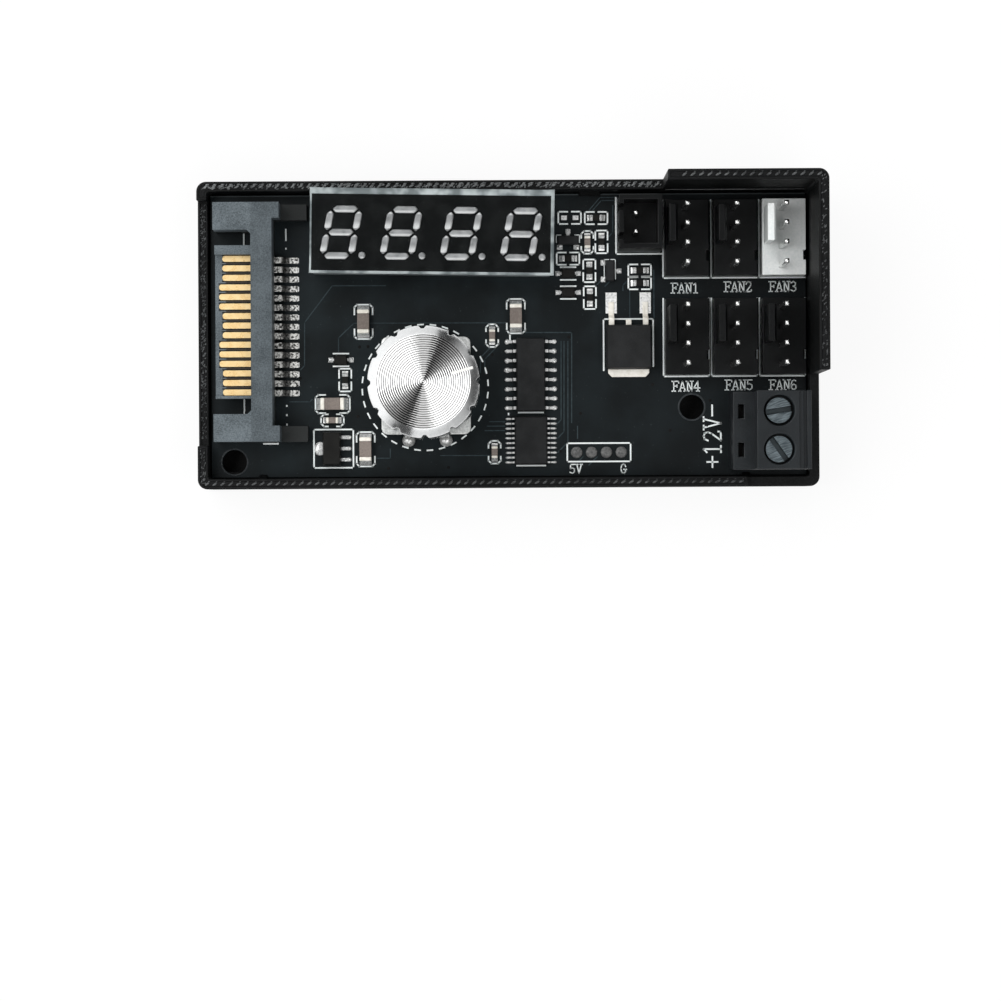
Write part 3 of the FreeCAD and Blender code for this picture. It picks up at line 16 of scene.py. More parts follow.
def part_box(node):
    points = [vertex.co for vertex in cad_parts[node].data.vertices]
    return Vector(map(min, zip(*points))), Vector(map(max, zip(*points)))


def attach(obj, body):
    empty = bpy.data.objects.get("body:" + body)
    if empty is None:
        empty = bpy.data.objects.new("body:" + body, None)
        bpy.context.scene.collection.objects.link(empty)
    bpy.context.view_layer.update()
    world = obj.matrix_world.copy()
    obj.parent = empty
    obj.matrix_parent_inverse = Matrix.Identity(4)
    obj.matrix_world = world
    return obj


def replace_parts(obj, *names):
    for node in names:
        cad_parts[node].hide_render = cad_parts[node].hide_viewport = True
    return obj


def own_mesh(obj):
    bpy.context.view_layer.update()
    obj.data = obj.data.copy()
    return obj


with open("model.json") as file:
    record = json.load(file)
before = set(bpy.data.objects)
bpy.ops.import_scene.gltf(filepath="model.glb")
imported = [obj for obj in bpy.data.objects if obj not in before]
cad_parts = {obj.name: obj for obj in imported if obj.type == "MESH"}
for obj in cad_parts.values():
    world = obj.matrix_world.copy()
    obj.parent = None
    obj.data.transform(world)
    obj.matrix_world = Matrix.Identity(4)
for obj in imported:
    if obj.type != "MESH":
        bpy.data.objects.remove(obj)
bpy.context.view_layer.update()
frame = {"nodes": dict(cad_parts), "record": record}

MM = 0.001
nodes = frame["nodes"]
record = frame["record"]
body_of = {node: body for body, group in record["behaviour"]["bodies"].items() for node in group}
slot_of = {part["node"]: part["material_slot"] for part in record["subparts"]}
random.seed(6)


def reach(*names):
    """Lowest and highest corner, in millimetres, of one or more solids."""
    corners = [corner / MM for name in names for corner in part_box(name)]
    return Vector(map(min, *corners)), Vector(map(max, *corners))


# %% [markdown]
# ## Shader arithmetic
# A finish is a small sum of patterns. Wrapping a socket in a class lets that sum be written as an
# expression, and every operation adds its Math node. One method makes any other node: settings
# first, then the values or links of its sockets.

# %% Sockets as values
class Value:
    """An output socket. Arithmetic on it adds Math nodes."""

    def __init__(self, shading, socket):
        self.shading = shading
        self.socket = socket

    def math(self, operation, *others):
        terms = dict(enumerate((self, *others)))
        return self.shading.node("ShaderNodeMath", {"operation": operation}, terms)

    def __add__(self, other):
        return self.math("ADD", other)

    __radd__ = __add__

    def __sub__(self, other):
        return self.math("SUBTRACT", other)

    def __rsub__(self, other):
        return self.math("MULTIPLY_ADD", -1.0, other)

    def __mul__(self, other):
        return self.math("MULTIPLY", other)

    __rmul__ = __mul__


# %% Node trees
class Shading:
    """A node tree, with the few patterns that the finishes share."""

    def __init__(self, tree):
        self.tree = tree

    def feed(self, node, inputs):
        for key, value in inputs.items():
            if isinstance(value, Value):
                self.tree.links.new(value.socket, node.inputs[key])
            else:
                node.inputs[key].default_value = value

    def node(self, kind, settings, inputs, output=0):
        made = self.tree.nodes.new(kind)
        for key, value in settings.items():
            setattr(made, key, value)
        self.feed(made, inputs)
        return Value(self, made.outputs[output])

    def place(self, centre=(0, 0, 0), turn=0, stretch=(1, 1, 1)):
        """Object coordinates about a centre (mm), turned about Z (degrees) and stretched."""
        here = self.node("ShaderNodeTexCoord", {}, {}, "Object")
        return self.node("ShaderNodeMapping", {"vector_type": "TEXTURE"},
                         {"Vector": here, "Location": [c * MM for c in centre],
                          "Rotation": (0, 0, math.radians(turn)), "Scale": stretch})

    def axis(self, name, where):
        return self.node("ShaderNodeSeparateXYZ", {}, {0: where}, name)

    def grain(self, size, where=None, detail=2.0):
        """Noise whose blotches are about size (mm) across, from 0 to 1."""
        return self.node("ShaderNodeTexNoise", {},
                         {"Vector": where or self.place(), "Scale": 1 / (size * MM), "Detail": detail})

    def rise(self, value, low, high):
        """0 below low, 1 above high, smooth between them."""
        return self.node("ShaderNodeMapRange", {"interpolation_type": "SMOOTHSTEP"},
                         {0: value, 1: low, 2: high, 3: 0.0, 4: 1.0})

    def past(self, value, level, width=0.1):
        """0 to 1 as a length rises through a level (mm)."""
        return self.rise(value, (level - width / 2) * MM, (level + width / 2) * MM)

    def tint(self, factor, first, second):
        return self.node("ShaderNodeMix", {"data_type": "RGBA"}, {0: factor, 6: first, 7: second}, 2)

    def bump(self, height, depth):
        return self.node("ShaderNodeBump", {},
                         {"Height": height, "Distance": depth * MM, "Strength": 1.0})


class Finish(Shading):
    """A material round one Principled shader."""

    def __init__(self, name, constants):
        self.material = bpy.data.materials.new(name)
        self.material.use_nodes = True
        super().__init__(self.material.node_tree)
        self.shader = self.tree.nodes["Principled BSDF"]
        self.feed(self.shader, constants)

    def paint(self, inputs):
        self.feed(self.shader, inputs)
        return self.material

    def surface(self, colour, wear, rough, depth, spread=0.2):
        """A colour over one pattern of wear, which drives both roughness and bump (mm)."""
        return self.paint({"Base Color": colour, "Roughness": wear * spread + rough,
                           "Normal": self.bump(wear, depth)})


# %% Colours
def rgb(red, green, blue):
    """A colour as a paint chart gives it (0 to 255), in the linear values a shader takes."""
    def linear(level):
        c = level / 255
        return c / 12.92 if c <= 0.04045 else ((c + 0.055) / 1.055) ** 2.4
    return (linear(red), linear(green), linear(blue), 1.0)


# %% [markdown]
# ## Finishes
# Most surfaces here are moulded, fired or plated. They differ in two shades, the size of their grain,
# how polished they are and how deep the grain goes, so one function makes them all. The grain feeds
# colour, roughness and bump together, because on the real thing one texture causes all three. Dark
# plastics get a low specular level, since a light tent would otherwise wash them grey.

# %% Grained plastics
BLOTCH = 25


def grained(name, dark, light, grain, rough, depth, constants):
    finish = Finish(name, constants)
    fine = finish.grain(grain, detail=3.0)
    broad = finish.grain(BLOTCH * grain, detail=1.0)
    shade = finish.rise(fine * 0.6 + broad * 0.4, 0.3, 0.7)
    return finish.surface(finish.tint(shade, dark, light), fine, rough - 0.1, depth)


MATT = {"Specular IOR Level": 0.06}
DULL = {"Specular IOR Level": 0.12}
SHEEN = {"Specular IOR Level": 0.18}
SATIN = {"Specular IOR Level": 0.3}
charcoal = grained("charcoal_moulding", rgb(4, 5, 6), rgb(13, 15, 16), 0.12, 0.34, 0.008, SHEEN)
terminal_grey = grained("terminal_moulding", rgb(19, 23, 26), rgb(33, 37, 40), 0.12, 0.34, 0.008, SATIN)
ivory = grained("ivory_moulding", rgb(234, 239, 238), rgb(250, 252, 251), 0.3, 0.45, 0.006, SATIN)
epoxy = grained("package_epoxy", rgb(26, 27, 28), rgb(40, 41, 42), 0.07, 0.55, 0.01, DULL)
dark_epoxy = grained("dark_epoxy", rgb(17, 17, 16), rgb(29, 29, 27), 0.07, 0.5, 0.01, DULL)
ceramic = grained("fired_ceramic", rgb(110, 101, 95), rgb(134, 124, 117), 0.2, 0.55, 0.01, SATIN)
silk_ink = grained("silkscreen_ink", rgb(222, 231, 231), rgb(248, 251, 250), 0.12, 0.6, 0.01, DULL)
track_mask = grained("mask_over_track", rgb(36, 46, 50), rgb(56, 67, 71), 0.5, 0.4, 0.004, DULL)
hole_lacquer = grained("lacquered_ring", rgb(34, 38, 41), rgb(60, 64, 66), 0.4, 0.35, 0.01, DULL)
# Near black: the vias' own black, and painted shade in the contact slots and inside the terminal.
black_and_painted_shade = grained("black_and_painted_shade", rgb(9, 9, 10), rgb(22, 21, 20), 0.2, 0.6, 0.01, DULL)
print("plastics and inks", len(bpy.data.materials))

# %% Metals
METAL = {"Metallic": 1.0}
WETTED = {"Metallic": 0.5}
FROSTED = {"Metallic": 0.2}
plated_end = grained("plated_end", rgb(230, 225, 212), rgb(253, 250, 242), 0.5, 0.36, 0.012, FROSTED)
tin = grained("tinned_lead", rgb(180, 182, 182), rgb(246, 247, 246), 0.25, 0.25, 0.012, WETTED)
pin_tin = grained("tinned_pin", rgb(196, 197, 196), rgb(238, 238, 236), 0.5, 0.2, 0.002, METAL)
solder = grained("bright_solder", rgb(168, 170, 170), rgb(252, 252, 250), 0.22, 0.24, 0.04, WETTED)
pad_tin = grained("tinned_pad", rgb(196, 198, 198), rgb(252, 252, 251), 0.3, 0.3, 0.03, FROSTED)
dull_solder = grained("dull_solder", rgb(58, 59, 60), rgb(112, 112, 111), 0.3, 0.5, 0.04, FROSTED)
pressed_steel = grained("pressed_steel", rgb(172, 174, 173), rgb(226, 228, 226),
                        0.22, 0.4, 0.025, WETTED)
zinc = grained("cast_zinc", rgb(150, 152, 154), rgb(196, 198, 200), 0.4, 0.4, 0.02, METAL)
brass = grained("brass", rgb(150, 120, 64), rgb(196, 164, 96), 0.4, 0.35, 0.01, METAL)
print("with metals", len(bpy.data.materials))

# %% [markdown]
# ## Finishes that change with place
# The tray is printed in layers, so its walls carry fine level lines. The board is dark glass laminate
# with a paler band at its cut edge, partly bare laminate and partly a painted highlight, and painted
# shade towards the right. The inlet's contacts are gold in the plug's reach and tinned behind it, with
# painted shade where they dive to the board, and the tongue has painted shade between them and on its
# bar and low feet. The display is a grey shell with a black face, and its milky bars carry painted
# highlights along some edges. The screws have painted shade in their slots. All of these follow Object
# coordinates.

# %% Printed tray
LAYER = 0.2


def printed_black():
    finish = Finish("printed_black", DULL)
    level = finish.axis("Z", finish.place())
    layers = (level * (2 * math.pi / (LAYER * MM))).math("SINE")
    fine = finish.grain(0.18, detail=3.0)
    broad = finish.grain(4.0)
    shade = finish.rise(fine * 0.7 + broad * 0.3, 0.35, 0.7)
    return finish.paint({"Base Color": finish.tint(shade, rgb(8, 9, 9), rgb(24, 25, 26)),
                         "Roughness": fine * 0.25 + 0.32,
                         "Normal": finish.bump(layers * 0.5 + fine, 0.02)})


tray_finish = printed_black()
# Painted highlights for the black rim's beads: a lit copy and a darker, shaded copy.
lit_rim_glint = grained("rim_bead", rgb(60, 62, 63), rgb(124, 127, 128), 0.3, 0.35, 0.02, {})
shaded_rim_glint = grained("shaded_rim_bead", rgb(38, 39, 40), rgb(98, 100, 101), 0.3, 0.35, 0.02, DULL)
print("printed layer", LAYER)

# %% Board laminate
board_high = reach("circuit_board")[1]
BOARD_TOP = board_high.z
EDGE_BAND = 0.15
SHADED_SIDE = (-10, 25)


def solder_mask():
    finish = Finish("solder_mask", DULL)
    across = finish.axis("Y", finish.place())
    cloudy = finish.grain(7.0, detail=3.0)
    specks = finish.rise(finish.grain(0.35, detail=1.0), 0.72, 0.8)
    mask = finish.tint(finish.rise(cloudy, 0.35, 0.65), rgb(14, 20, 22), rgb(24, 32, 35))
    # Painted shade: the board darkens towards the right.
    right_shade = finish.rise(finish.axis("X", finish.place()), *[x * MM for x in SHADED_SIDE])
    mask = finish.tint(right_shade * 0.5, mask, rgb(8, 11, 13))
    mask = finish.tint(specks * 0.25, mask, rgb(70, 78, 80))
    # The paler band along the back edge is the bare laminate of the cut edge, with a painted highlight
    # on it.
    edge = finish.past(across, board_high.y - EDGE_BAND, EDGE_BAND)
    return finish.paint({"Base Color": finish.tint(edge * 0.8, mask, rgb(74, 80, 82)),
                         "Roughness": cloudy * 0.15 + 0.36,
                         "Coat Weight": finish.rise(cloudy, 0.3, 0.8) * 0.04,
                         "Normal": finish.bump(finish.grain(0.5), 0.006)})


mask_finish = solder_mask()
print("board top", BOARD_TOP)

# %% Inlet housing
inlet_low, inlet_high = reach("sata_contacts")
bar_low, bar_high = reach("sata_housing")
FEET_SHADE_TO = 8.6
BAR_FROM = 5.0
TONGUE_SHADE_FROM = 0.9


def slate_moulding():
    finish = Finish("slate_nylon", DULL)
    fine = finish.grain(0.16, detail=3.0)
    shade = finish.rise(fine * 0.6 + finish.grain(4.0) * 0.4, 0.3, 0.7)
    slate = finish.tint(shade, rgb(66, 73, 77), rgb(111, 120, 125))
    where = finish.place()
    along, across = finish.axis("X", where), finish.axis("Y", where)
    # Painted shade: the bar is darker past BAR_FROM.
    shaded = finish.past(along, bar_low.x + BAR_FROM, 0.3)
    slate = finish.tint(shaded * 0.36, slate, rgb(56, 62, 66))
    # Between the contacts the tongue carries painted shade, warmed by a painted reflection of the gold.
    row = finish.past(across, inlet_low.y) * (1 - finish.past(across, inlet_high.y))
    strips = finish.past(along, inlet_low.x + TONGUE_SHADE_FROM, 0.3) * (1 - shaded) * row
    slate = finish.tint(strips * 0.85, slate, rgb(50, 42, 30))
    # Below this height the feet carry painted shade.
    above = finish.past(finish.axis("Z", where), FEET_SHADE_TO)
    return finish.surface(finish.tint(above, rgb(42, 44, 44), slate), fine, rough=0.4, depth=0.02)


slate_nylon = slate_moulding()
print("inlet housing", bar_low, bar_high)

# %% Inlet contacts
GOLD_ENDS = 6.5
TAIL_DIVE_SHADE = (8.15, 9.15)


def gold_and_tin():
    finish = Finish("gold_and_tin", {})
    along = finish.axis("X", finish.place())
    soft = finish.grain(0.9, detail=1.0)
    pitted = finish.rise(finish.grain(0.28, detail=3.0), 0.36, 0.62)
    gold = finish.tint(soft, rgb(236, 194, 126), rgb(254, 230, 178))
    tinned = finish.tint(pitted, rgb(44, 44, 43), rgb(248, 248, 244))
    # Where the tails dive to the board they carry painted shade.
    dive = finish.past(along, inlet_low.x + TAIL_DIVE_SHADE[0], 0.3)
    dive = dive * (1 - finish.past(along, inlet_low.x + TAIL_DIVE_SHADE[1], 0.2))
    tinned = finish.tint(dive * 0.85, tinned, rgb(12, 12, 12))
    bare = finish.past(along, inlet_low.x + GOLD_ENDS)
    return finish.paint({"Base Color": finish.tint(bare, gold, tinned),
                         "Metallic": bare * 0.3 + 0.3, "Roughness": soft * 0.08 + 0.24,
                         "Normal": finish.bump(pitted * bare, 0.012)})


contact_finish = gold_and_tin()
print("gold from", inlet_low.x, "to", inlet_low.x + GOLD_ENDS)

# %% Chip leads
FOOT_RISE = 0.24
SHOULDER = 0.1


def dived_tin(node):
    """Tin with painted shade on the slope of a lead, which looks at the board and not at the light."""
    low, high = reach(node)
    finish = Finish(node + "_tin", WETTED)
    level = finish.axis("Z", finish.place())
    worn = finish.grain(0.2, detail=3.0)
    slope = finish.past(level, low.z + FOOT_RISE) * (1 - finish.past(level, high.z - SHOULDER))
    bright = finish.tint(worn, rgb(186, 188, 188), rgb(250, 250, 249))
    slope_shaded_tin = finish.tint(slope * 0.85, bright, rgb(30, 31, 31))
    return finish.surface(slope_shaded_tin, worn, rough=0.2, depth=0.01)


driver_tin = dived_tin("driver_chip_leads")
controller_tin = dived_tin("controller_chip_leads")
print("leads", driver_tin.name, controller_tin.name)

# %% Display shell and segments
shell_low, shell_high = reach("display_body")
display_mid = (shell_low + shell_high) / 2
DISPLAY_SKEW = -0.96
DISPLAY_SIZE = (31.6, 10.15)
ROW_PITCH = 3.08
FACE_INK = 0.2


def black_faced_shell():
    finish = Finish("black_faced_shell", MATT)
    fine = finish.grain(0.3, detail=3.0)
    dust = finish.rise(finish.grain(0.5, detail=1.0), 0.74, 0.8)
    wall = finish.tint(fine, rgb(92, 99, 101), rgb(140, 148, 150))
    ink = finish.tint(fine * 0.5 + dust * 0.6, rgb(2, 3, 3), rgb(12, 14, 15))
    face = finish.past(finish.axis("Z", finish.place()), shell_high.z - FACE_INK)
    return finish.surface(finish.tint(face, wall, ink), fine, rough=0.34, depth=0.004)


def milky_resin():
    """Bars like shallow cups of resin, with painted highlights at their lower ends and edges."""
    finish = Finish("milky_resin", SATIN)
    where = finish.place(display_mid, DISPLAY_SKEW)
    cloud = finish.grain(1.2, where, detail=1.0)
    milk = finish.tint(finish.rise(cloud, 0.2, 0.8), rgb(118, 120, 121), rgb(154, 156, 157))
    row = (finish.axis("Y", where) * (1 / (ROW_PITCH * MM))).math("FRACT")
    level_bar_highlight = finish.rise(row, 0.78, 0.84) * (1 - finish.rise(row, 0.9, 1.0))
    side_bar_highlight = finish.rise(row, 0.16, 0.2) * (1 - finish.rise(row, 0.24, 0.55))
    lit = (level_bar_highlight + side_bar_highlight) * 0.7
    return finish.surface(finish.tint(lit, milk, rgb(222, 224, 224)), cloud, rough=0.2, depth=0.03)


shell_finish = black_faced_shell()
segment_finish = milky_resin()
print("display middle", display_mid)

# %% Film
FILM_OVER_FACE = 0.006
FILM_PAST_SHELL = 0.84


def clear_film():
    """Nearly nothing over the face; past the shell the clear sheet is pale and streaky, a painted sheen.
    """
    finish = Finish("clear_film", SATIN)
    where = finish.place(display_mid, DISPLAY_SKEW)
    ends = finish.past(finish.axis("X", where).math("ABSOLUTE"), DISPLAY_SIZE[0] / 2)
    sides = finish.past(finish.axis("Y", where).math("ABSOLUTE"), DISPLAY_SIZE[1] / 2)
    streak = finish.grain(2.4, where)
    pale = finish.tint(finish.rise(streak, 0.38, 0.64), rgb(112, 121, 123), rgb(186, 195, 196))
    return finish.paint({"Base Color": pale, "Roughness": streak * 0.2 + 0.15,
                         "Alpha": ends.math("MAXIMUM", sides) * FILM_PAST_SHELL + FILM_OVER_FACE,
                         "Normal": finish.bump(finish.grain(3.0), 0.01)})


film_finish = clear_film()
print("film over the face", FILM_OVER_FACE)

# %% Terminal screws
SCREW_TOP = reach("terminal_screw_1")[1].z
SLOT_SHADE = 0.4


def slotted_steel():
    finish = Finish("slotted_steel", METAL)
    level = finish.axis("Z", finish.place())
    worn = finish.grain(0.16, finish.place(turn=20, stretch=(8, 1, 1)), detail=3.0)
    steel = finish.tint(finish.rise(worn, 0.3, 0.7), rgb(78, 87, 92), rgb(126, 137, 142))
    # Deeper than SLOT_SHADE below the top, the slot floor carries painted shade.
    head = finish.past(level, SCREW_TOP - SLOT_SHADE, 0.3)
    return finish.surface(finish.tint(head, rgb(64, 70, 73), steel), worn, rough=0.22, depth=0.02)


screw_finish = slotted_steel()
print("finishes", len(bpy.data.materials))

# %% [markdown]
# ## Softened edges
# No moulding or pressing has a razor edge, and it is the rounded edge that catches a thin line of
# light. A bevel modifier would need joined faces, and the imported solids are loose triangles, so each
# solid is copied, joined up, made whole on its flats and then bevelled. The copy stands for the solid.

# %% Copies of the solids
def joined(node):
    """A node's triangles with their corners joined, in millimetres."""
    bm = bmesh.new()
    bm.from_mesh(nodes[node].data)
    bmesh.ops.scale(bm, vec=Vector((1, 1, 1)) / MM, verts=bm.verts)
    bmesh.ops.remove_doubles(bm, verts=bm.verts, dist=0.002)
    return bm


def merged(node):
    """The same with the triangles of each flat made one face."""
    bm = joined(node)
    bmesh.ops.dissolve_limit(bm, angle_limit=math.radians(1), verts=bm.verts, edges=bm.edges)
    return bm


def shade_smooth(faces):
    for face in faces:
        face.smooth = True


def round_off(bm, edges, radius, segments):
    made = bmesh.ops.bevel(bm, geom=edges, offset=radius, offset_type="OFFSET", segments=segments,
                           profile=0.5, affect="EDGES", clamp_overlap=True, material=-1)
    shade_smooth(made["faces"])


def soften(bm, radius):
    """Rounds every outer edge that turns by more than 30 degrees."""
    sharp = [e for e in bm.edges
             if e.is_manifold and e.is_convex and e.calc_face_angle(0) > math.radians(30)]
    round_off(bm, sharp, radius, 2)


def climb(edge):
    return abs(edge.verts[0].co.z - edge.verts[1].co.z)


# %% From a bmesh to a piece
def show(name, data):
    made = bpy.data.objects.new(name, data)
    bpy.context.scene.collection.objects.link(made)
    return made


def piece(bm, name, node, finish):
    """Turns a bmesh in millimetres into a piece that rides with a node's body."""
    body, slot = body_of[node], slot_of[node]
    bmesh.ops.scale(bm, vec=Vector((MM, MM, MM)), verts=bm.verts)
    mesh = bpy.data.meshes.new(name)
    bm.to_mesh(mesh)
    bm.free()
    if "custom_normal" in mesh.attributes:
        mesh.attributes.remove(mesh.attributes["custom_normal"])
    mesh.materials.clear()
    mesh.materials.append(finish)
    made = show(name, mesh)
    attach(made, body)
    return made


# %% Mouldings, packages and pins
FAN_HEADERS = 6
WHITE_HEADER = 3
SOFT_NODES = [
    ("sata_housing", slate_nylon, 0.1), ("aux_header", charcoal, 0.1), ("aux_header_pins", pin_tin, 0.1),
    ("terminal_housing", terminal_grey, 0.1), ("encoder_pins", tin, 0.08),
    ("display_body", shell_finish, 0.06), ("display_segments", segment_finish, 0.2),
    ("driver_chip_body", epoxy, 0.06), ("driver_chip_leads", driver_tin, 0.05),
    ("controller_chip_body", epoxy, 0.05), ("controller_chip_leads", controller_tin, 0.04),
    ("mosfet_body", epoxy, 0.1), ("mosfet_leadframe", plated_end, 0.06),
    ("regulator_body", dark_epoxy, 0.06), ("regulator_leadframe", tin, 0.08),
    ("transistor_bodies", epoxy, 0.05), ("transistor_leads", tin, 0.04),
    ("diode_bodies", dark_epoxy, 0.05), ("diode_leads", tin, 0.04),
    ("large_capacitor_bodies", ceramic, 0.06), ("large_capacitor_ends", plated_end, 0.12),
    ("small_capacitor_bodies", ceramic, 0.04), ("small_capacitor_ends", plated_end, 0.1),
    ("resistor_bodies", dark_epoxy, 0.03), ("resistor_ends", tin, 0.06),
    ("terminal_screw_1", screw_finish, 0.08), ("terminal_screw_2", screw_finish, 0.08)]
for number in range(1, FAN_HEADERS + 1):
    SOFT_NODES.append((f"fan_header_{number}", ivory if number == WHITE_HEADER else charcoal, 0.1))
    SOFT_NODES.append((f"fan_pins_{number}", pin_tin, 0.1))
for node, finish, radius in SOFT_NODES:
    soft_bm = merged(node)
    soften(soft_bm, radius)
    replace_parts(piece(soft_bm, node + "_soft", node, finish), node)
print("softened pieces", len(SOFT_NODES))

# %% Encoder bracket with rounded corners
CORNER_ROUND = 0.8
CORNER_SEGMENTS = 3
BRACKET_EDGE = 0.12
NEAR = 0.05
UPRIGHT = 0.2
bracket_bm = merged("encoder_bracket")
bracket_box = reach("encoder_bracket")


def at_corner(spot):
    return all(min(abs(spot[i] - corner[i]) for corner in bracket_box) < NEAR for i in (0, 1))


corner_edges = [e for e in bracket_bm.edges
                if e.is_convex and climb(e) > UPRIGHT and at_corner(e.verts[0].co)]
round_off(bracket_bm, corner_edges, CORNER_ROUND, CORNER_SEGMENTS)
soften(bracket_bm, BRACKET_EDGE)
bracket = piece(bracket_bm, "rounded_bracket", "encoder_bracket", pressed_steel)
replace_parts(bracket, "encoder_bracket")
print("bracket corners", len(corner_edges))

# %% Round-nosed contacts
NOSE_REACH = 2.0
NOSE_ROUND = 0.36
NOSE_SEGMENTS = 4
NOSE_CLIMB = 0.1
CONTACT_EDGE = 0.05
contact_bm = merged("sata_contacts")
nose_edges = [e for e in contact_bm.edges
              if max(v.co.x for v in e.verts) < inlet_low.x + NOSE_REACH and climb(e) > NOSE_CLIMB]
round_off(contact_bm, nose_edges, NOSE_ROUND, NOSE_SEGMENTS)
soften(contact_bm, CONTACT_EDGE)
contacts = piece(contact_bm, "round_nosed_contacts", "sata_contacts", contact_finish)
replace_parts(contacts, "sata_contacts")
print("nose edges", len(nose_edges))

# %% Solids that stay as they are
KEPT_NODES = {
    "circuit_board": mask_finish, "display_pins": tin, "encoder_base": charcoal, "encoder_bushing": zinc,
    "encoder_shaft": zinc, "encoder_rotor": charcoal, "encoder_detent_spring": pressed_steel,
    # The terminal's contacts are painted black as painted shade inside the housing.
    "switch_plunger": charcoal, "terminal_contacts": black_and_painted_shade,
    "terminal_cage_1": brass, "terminal_cage_2": brass}
for node, finish in KEPT_NODES.items():
    for slot in nodes[node].material_slots:
        slot.material = finish
print("repainted solids", len(KEPT_NODES))

# %% Snap dome that gives way under the knob
dome_low, dome_high = reach("switch_dome")
dome = piece(merged("switch_dome"), "snap_dome", "switch_dome", pressed_steel)
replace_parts(dome, "switch_dome")
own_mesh(dome)
print("dome height", dome_high.z - dome_low.z)

# %% [markdown]
# ## The printed rim
# A printer closes a wall with two smooth outer lines and fills between them with a slanting bead that
# looks like a twisted rope. The rim faces are inset to leave the two lines standing, and each turn of
# the rope is a small flattened bead in the valley. On the left and right walls the fill is finer and
# less regular, so specks are sprinkled there, and some more lie between the beads of the back wall.
# The beads and specks are painted grey as a painted highlight on the black print: a lit copy on the low
# back wall and a darker, shaded copy on the other walls.

# %% Tray with a sunken rim
RIM_EDGE = 0.14
RIM_LINE = 0.18
RIM_SLOPE = 0.1
VALLEY = 0.12
INLET_SILL = 7.4
LOW_RIM = 9.4
HIGH_RIM = reach("case_tray")[1].z
RIM_LEVELS = (INLET_SILL, LOW_RIM, HIGH_RIM)
rim_bm = merged("case_tray")
soften(rim_bm, RIM_EDGE)
rims = [f for f in rim_bm.faces if f.normal.z > 0.99 and not f.smooth
        and min(abs(f.calc_center_median().z - level) for level in RIM_LEVELS) < 0.01]
bmesh.ops.inset_region(rim_bm, faces=rims, thickness=RIM_LINE, use_even_offset=True)
bmesh.ops.inset_region(rim_bm, faces=rims, thickness=RIM_SLOPE, depth=-VALLEY, use_even_offset=True)
tray = piece(rim_bm, "printed_tray", "case_tray", tray_finish)
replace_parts(tray, "case_tray")
print("rim faces", len(rims))

# %% Beads
def template(bm):
    """The points and faces of a shape, to be set down many times."""
    bm.verts.index_update()
    shape = ([vert.co.copy() for vert in bm.verts],
             [[vert.index for vert in face.verts] for face in bm.faces])
    bm.free()
    return shape


def set_down(bm, shape, placed):
    spots, faces = shape
    corners = [bm.verts.new(placed @ spot) for spot in spots]
    for face in faces:
        bm.faces.new([corners[i] for i in face])


ball_bm = bmesh.new()
bmesh.ops.create_uvsphere(ball_bm, u_segments=8, v_segments=4, radius=0.5)
BEAD = template(ball_bm)
print("faces of a bead", len(BEAD[1]))


def bead(bm, x, y, level, heading, size):
    """A flattened drop of plastic whose crown is level with the rim."""
    set_down(bm, BEAD, Matrix.Translation((x, y, level - size[2] / 2))
             @ Matrix.Rotation(heading, 4, "Z") @ Matrix.Diagonal((*size, 1)))


# %% Rope
ROPE_PITCH = 1.04
ROPE_LEAN = 32
LEAN_SPREAD = 6
BEAD_LENGTH = (0.78, 0.9)
BEAD_GIRTH = (0.3, 0.22)
TICK_SHIFT = (0.3, 0.4)


def rope(bm, x0, x1, y, level, tick):
    """Slanting beads along a wall that runs from x0 to x1, and ticks of a given size behind them."""
    turns = int((x1 - x0) / ROPE_PITCH)
    for i in range(turns):
        x = x0 + (i + 0.5) * (x1 - x0) / turns
        lean = math.radians(ROPE_LEAN + random.uniform(-LEAN_SPREAD, LEAN_SPREAD))
        bead(bm, x, y, level, lean, (random.uniform(*BEAD_LENGTH), *BEAD_GIRTH))
        bead(bm, x + TICK_SHIFT[0], y + TICK_SHIFT[1], level, lean, tick)


# %% Specks
SPECK_LENGTH = (0.24, 0.48)
SPECK_WIDTH = (0.12, 0.18)
SPECK_HEIGHT = 0.14
SPECK_ASIDE = 0.36
SPECK_TURN = (0.3, 1.4)


def sprinkle(bm, low, high, level, per_mm):
    """Uneven specks along the middle line of a wall, which runs from low to high."""
    run = high - low
    across = run.orthogonal().normalized()
    for _ in range(int(run.length * per_mm)):
        size = (random.uniform(*SPECK_LENGTH), random.uniform(*SPECK_WIDTH), SPECK_HEIGHT)
        aside = across * random.uniform(-SPECK_ASIDE, SPECK_ASIDE)
        spot = low + run * random.uniform(0, 1) + aside
        bead(bm, spot.x, spot.y, level, random.uniform(*SPECK_TURN), size)


# %% Runs of rope and specks
WALL = 1.4
BACK_TICK = (0.86, 0.32, 0.15)
SMALL_TICK = (0.42, 0.15, 0.12)
tray_low, tray_high = reach("case_tray")
rope_bm = bmesh.new()
far_rope_bm = bmesh.new()
raised_left = reach("fan_header_1")[0].x - 0.3
raised_front = reach("fan_header_4")[0].y
sill_left = reach("terminal_housing")[0].x + 2.1
back_y = tray_high.y - WALL / 2
front_y = tray_low.y + WALL / 2
left_x = tray_low.x + WALL / 2
right_x = tray_high.x - WALL / 2
sill_front = bar_low.y - 0.5
sill_back = bar_high.y + 0.5
rope(rope_bm, left_x, raised_left - 0.2, back_y, LOW_RIM, BACK_TICK)
rope(far_rope_bm, left_x, sill_left - 0.3, front_y, LOW_RIM, SMALL_TICK)
rope(far_rope_bm, raised_left + 1.6, right_x, back_y, HIGH_RIM, SMALL_TICK)
back_left = Vector((left_x, back_y))
back_right = Vector((right_x, back_y))
front_left = Vector((left_x, front_y))
sprinkle(far_rope_bm, Vector((right_x, raised_front + 0.5)), back_right, HIGH_RIM, 4.5)
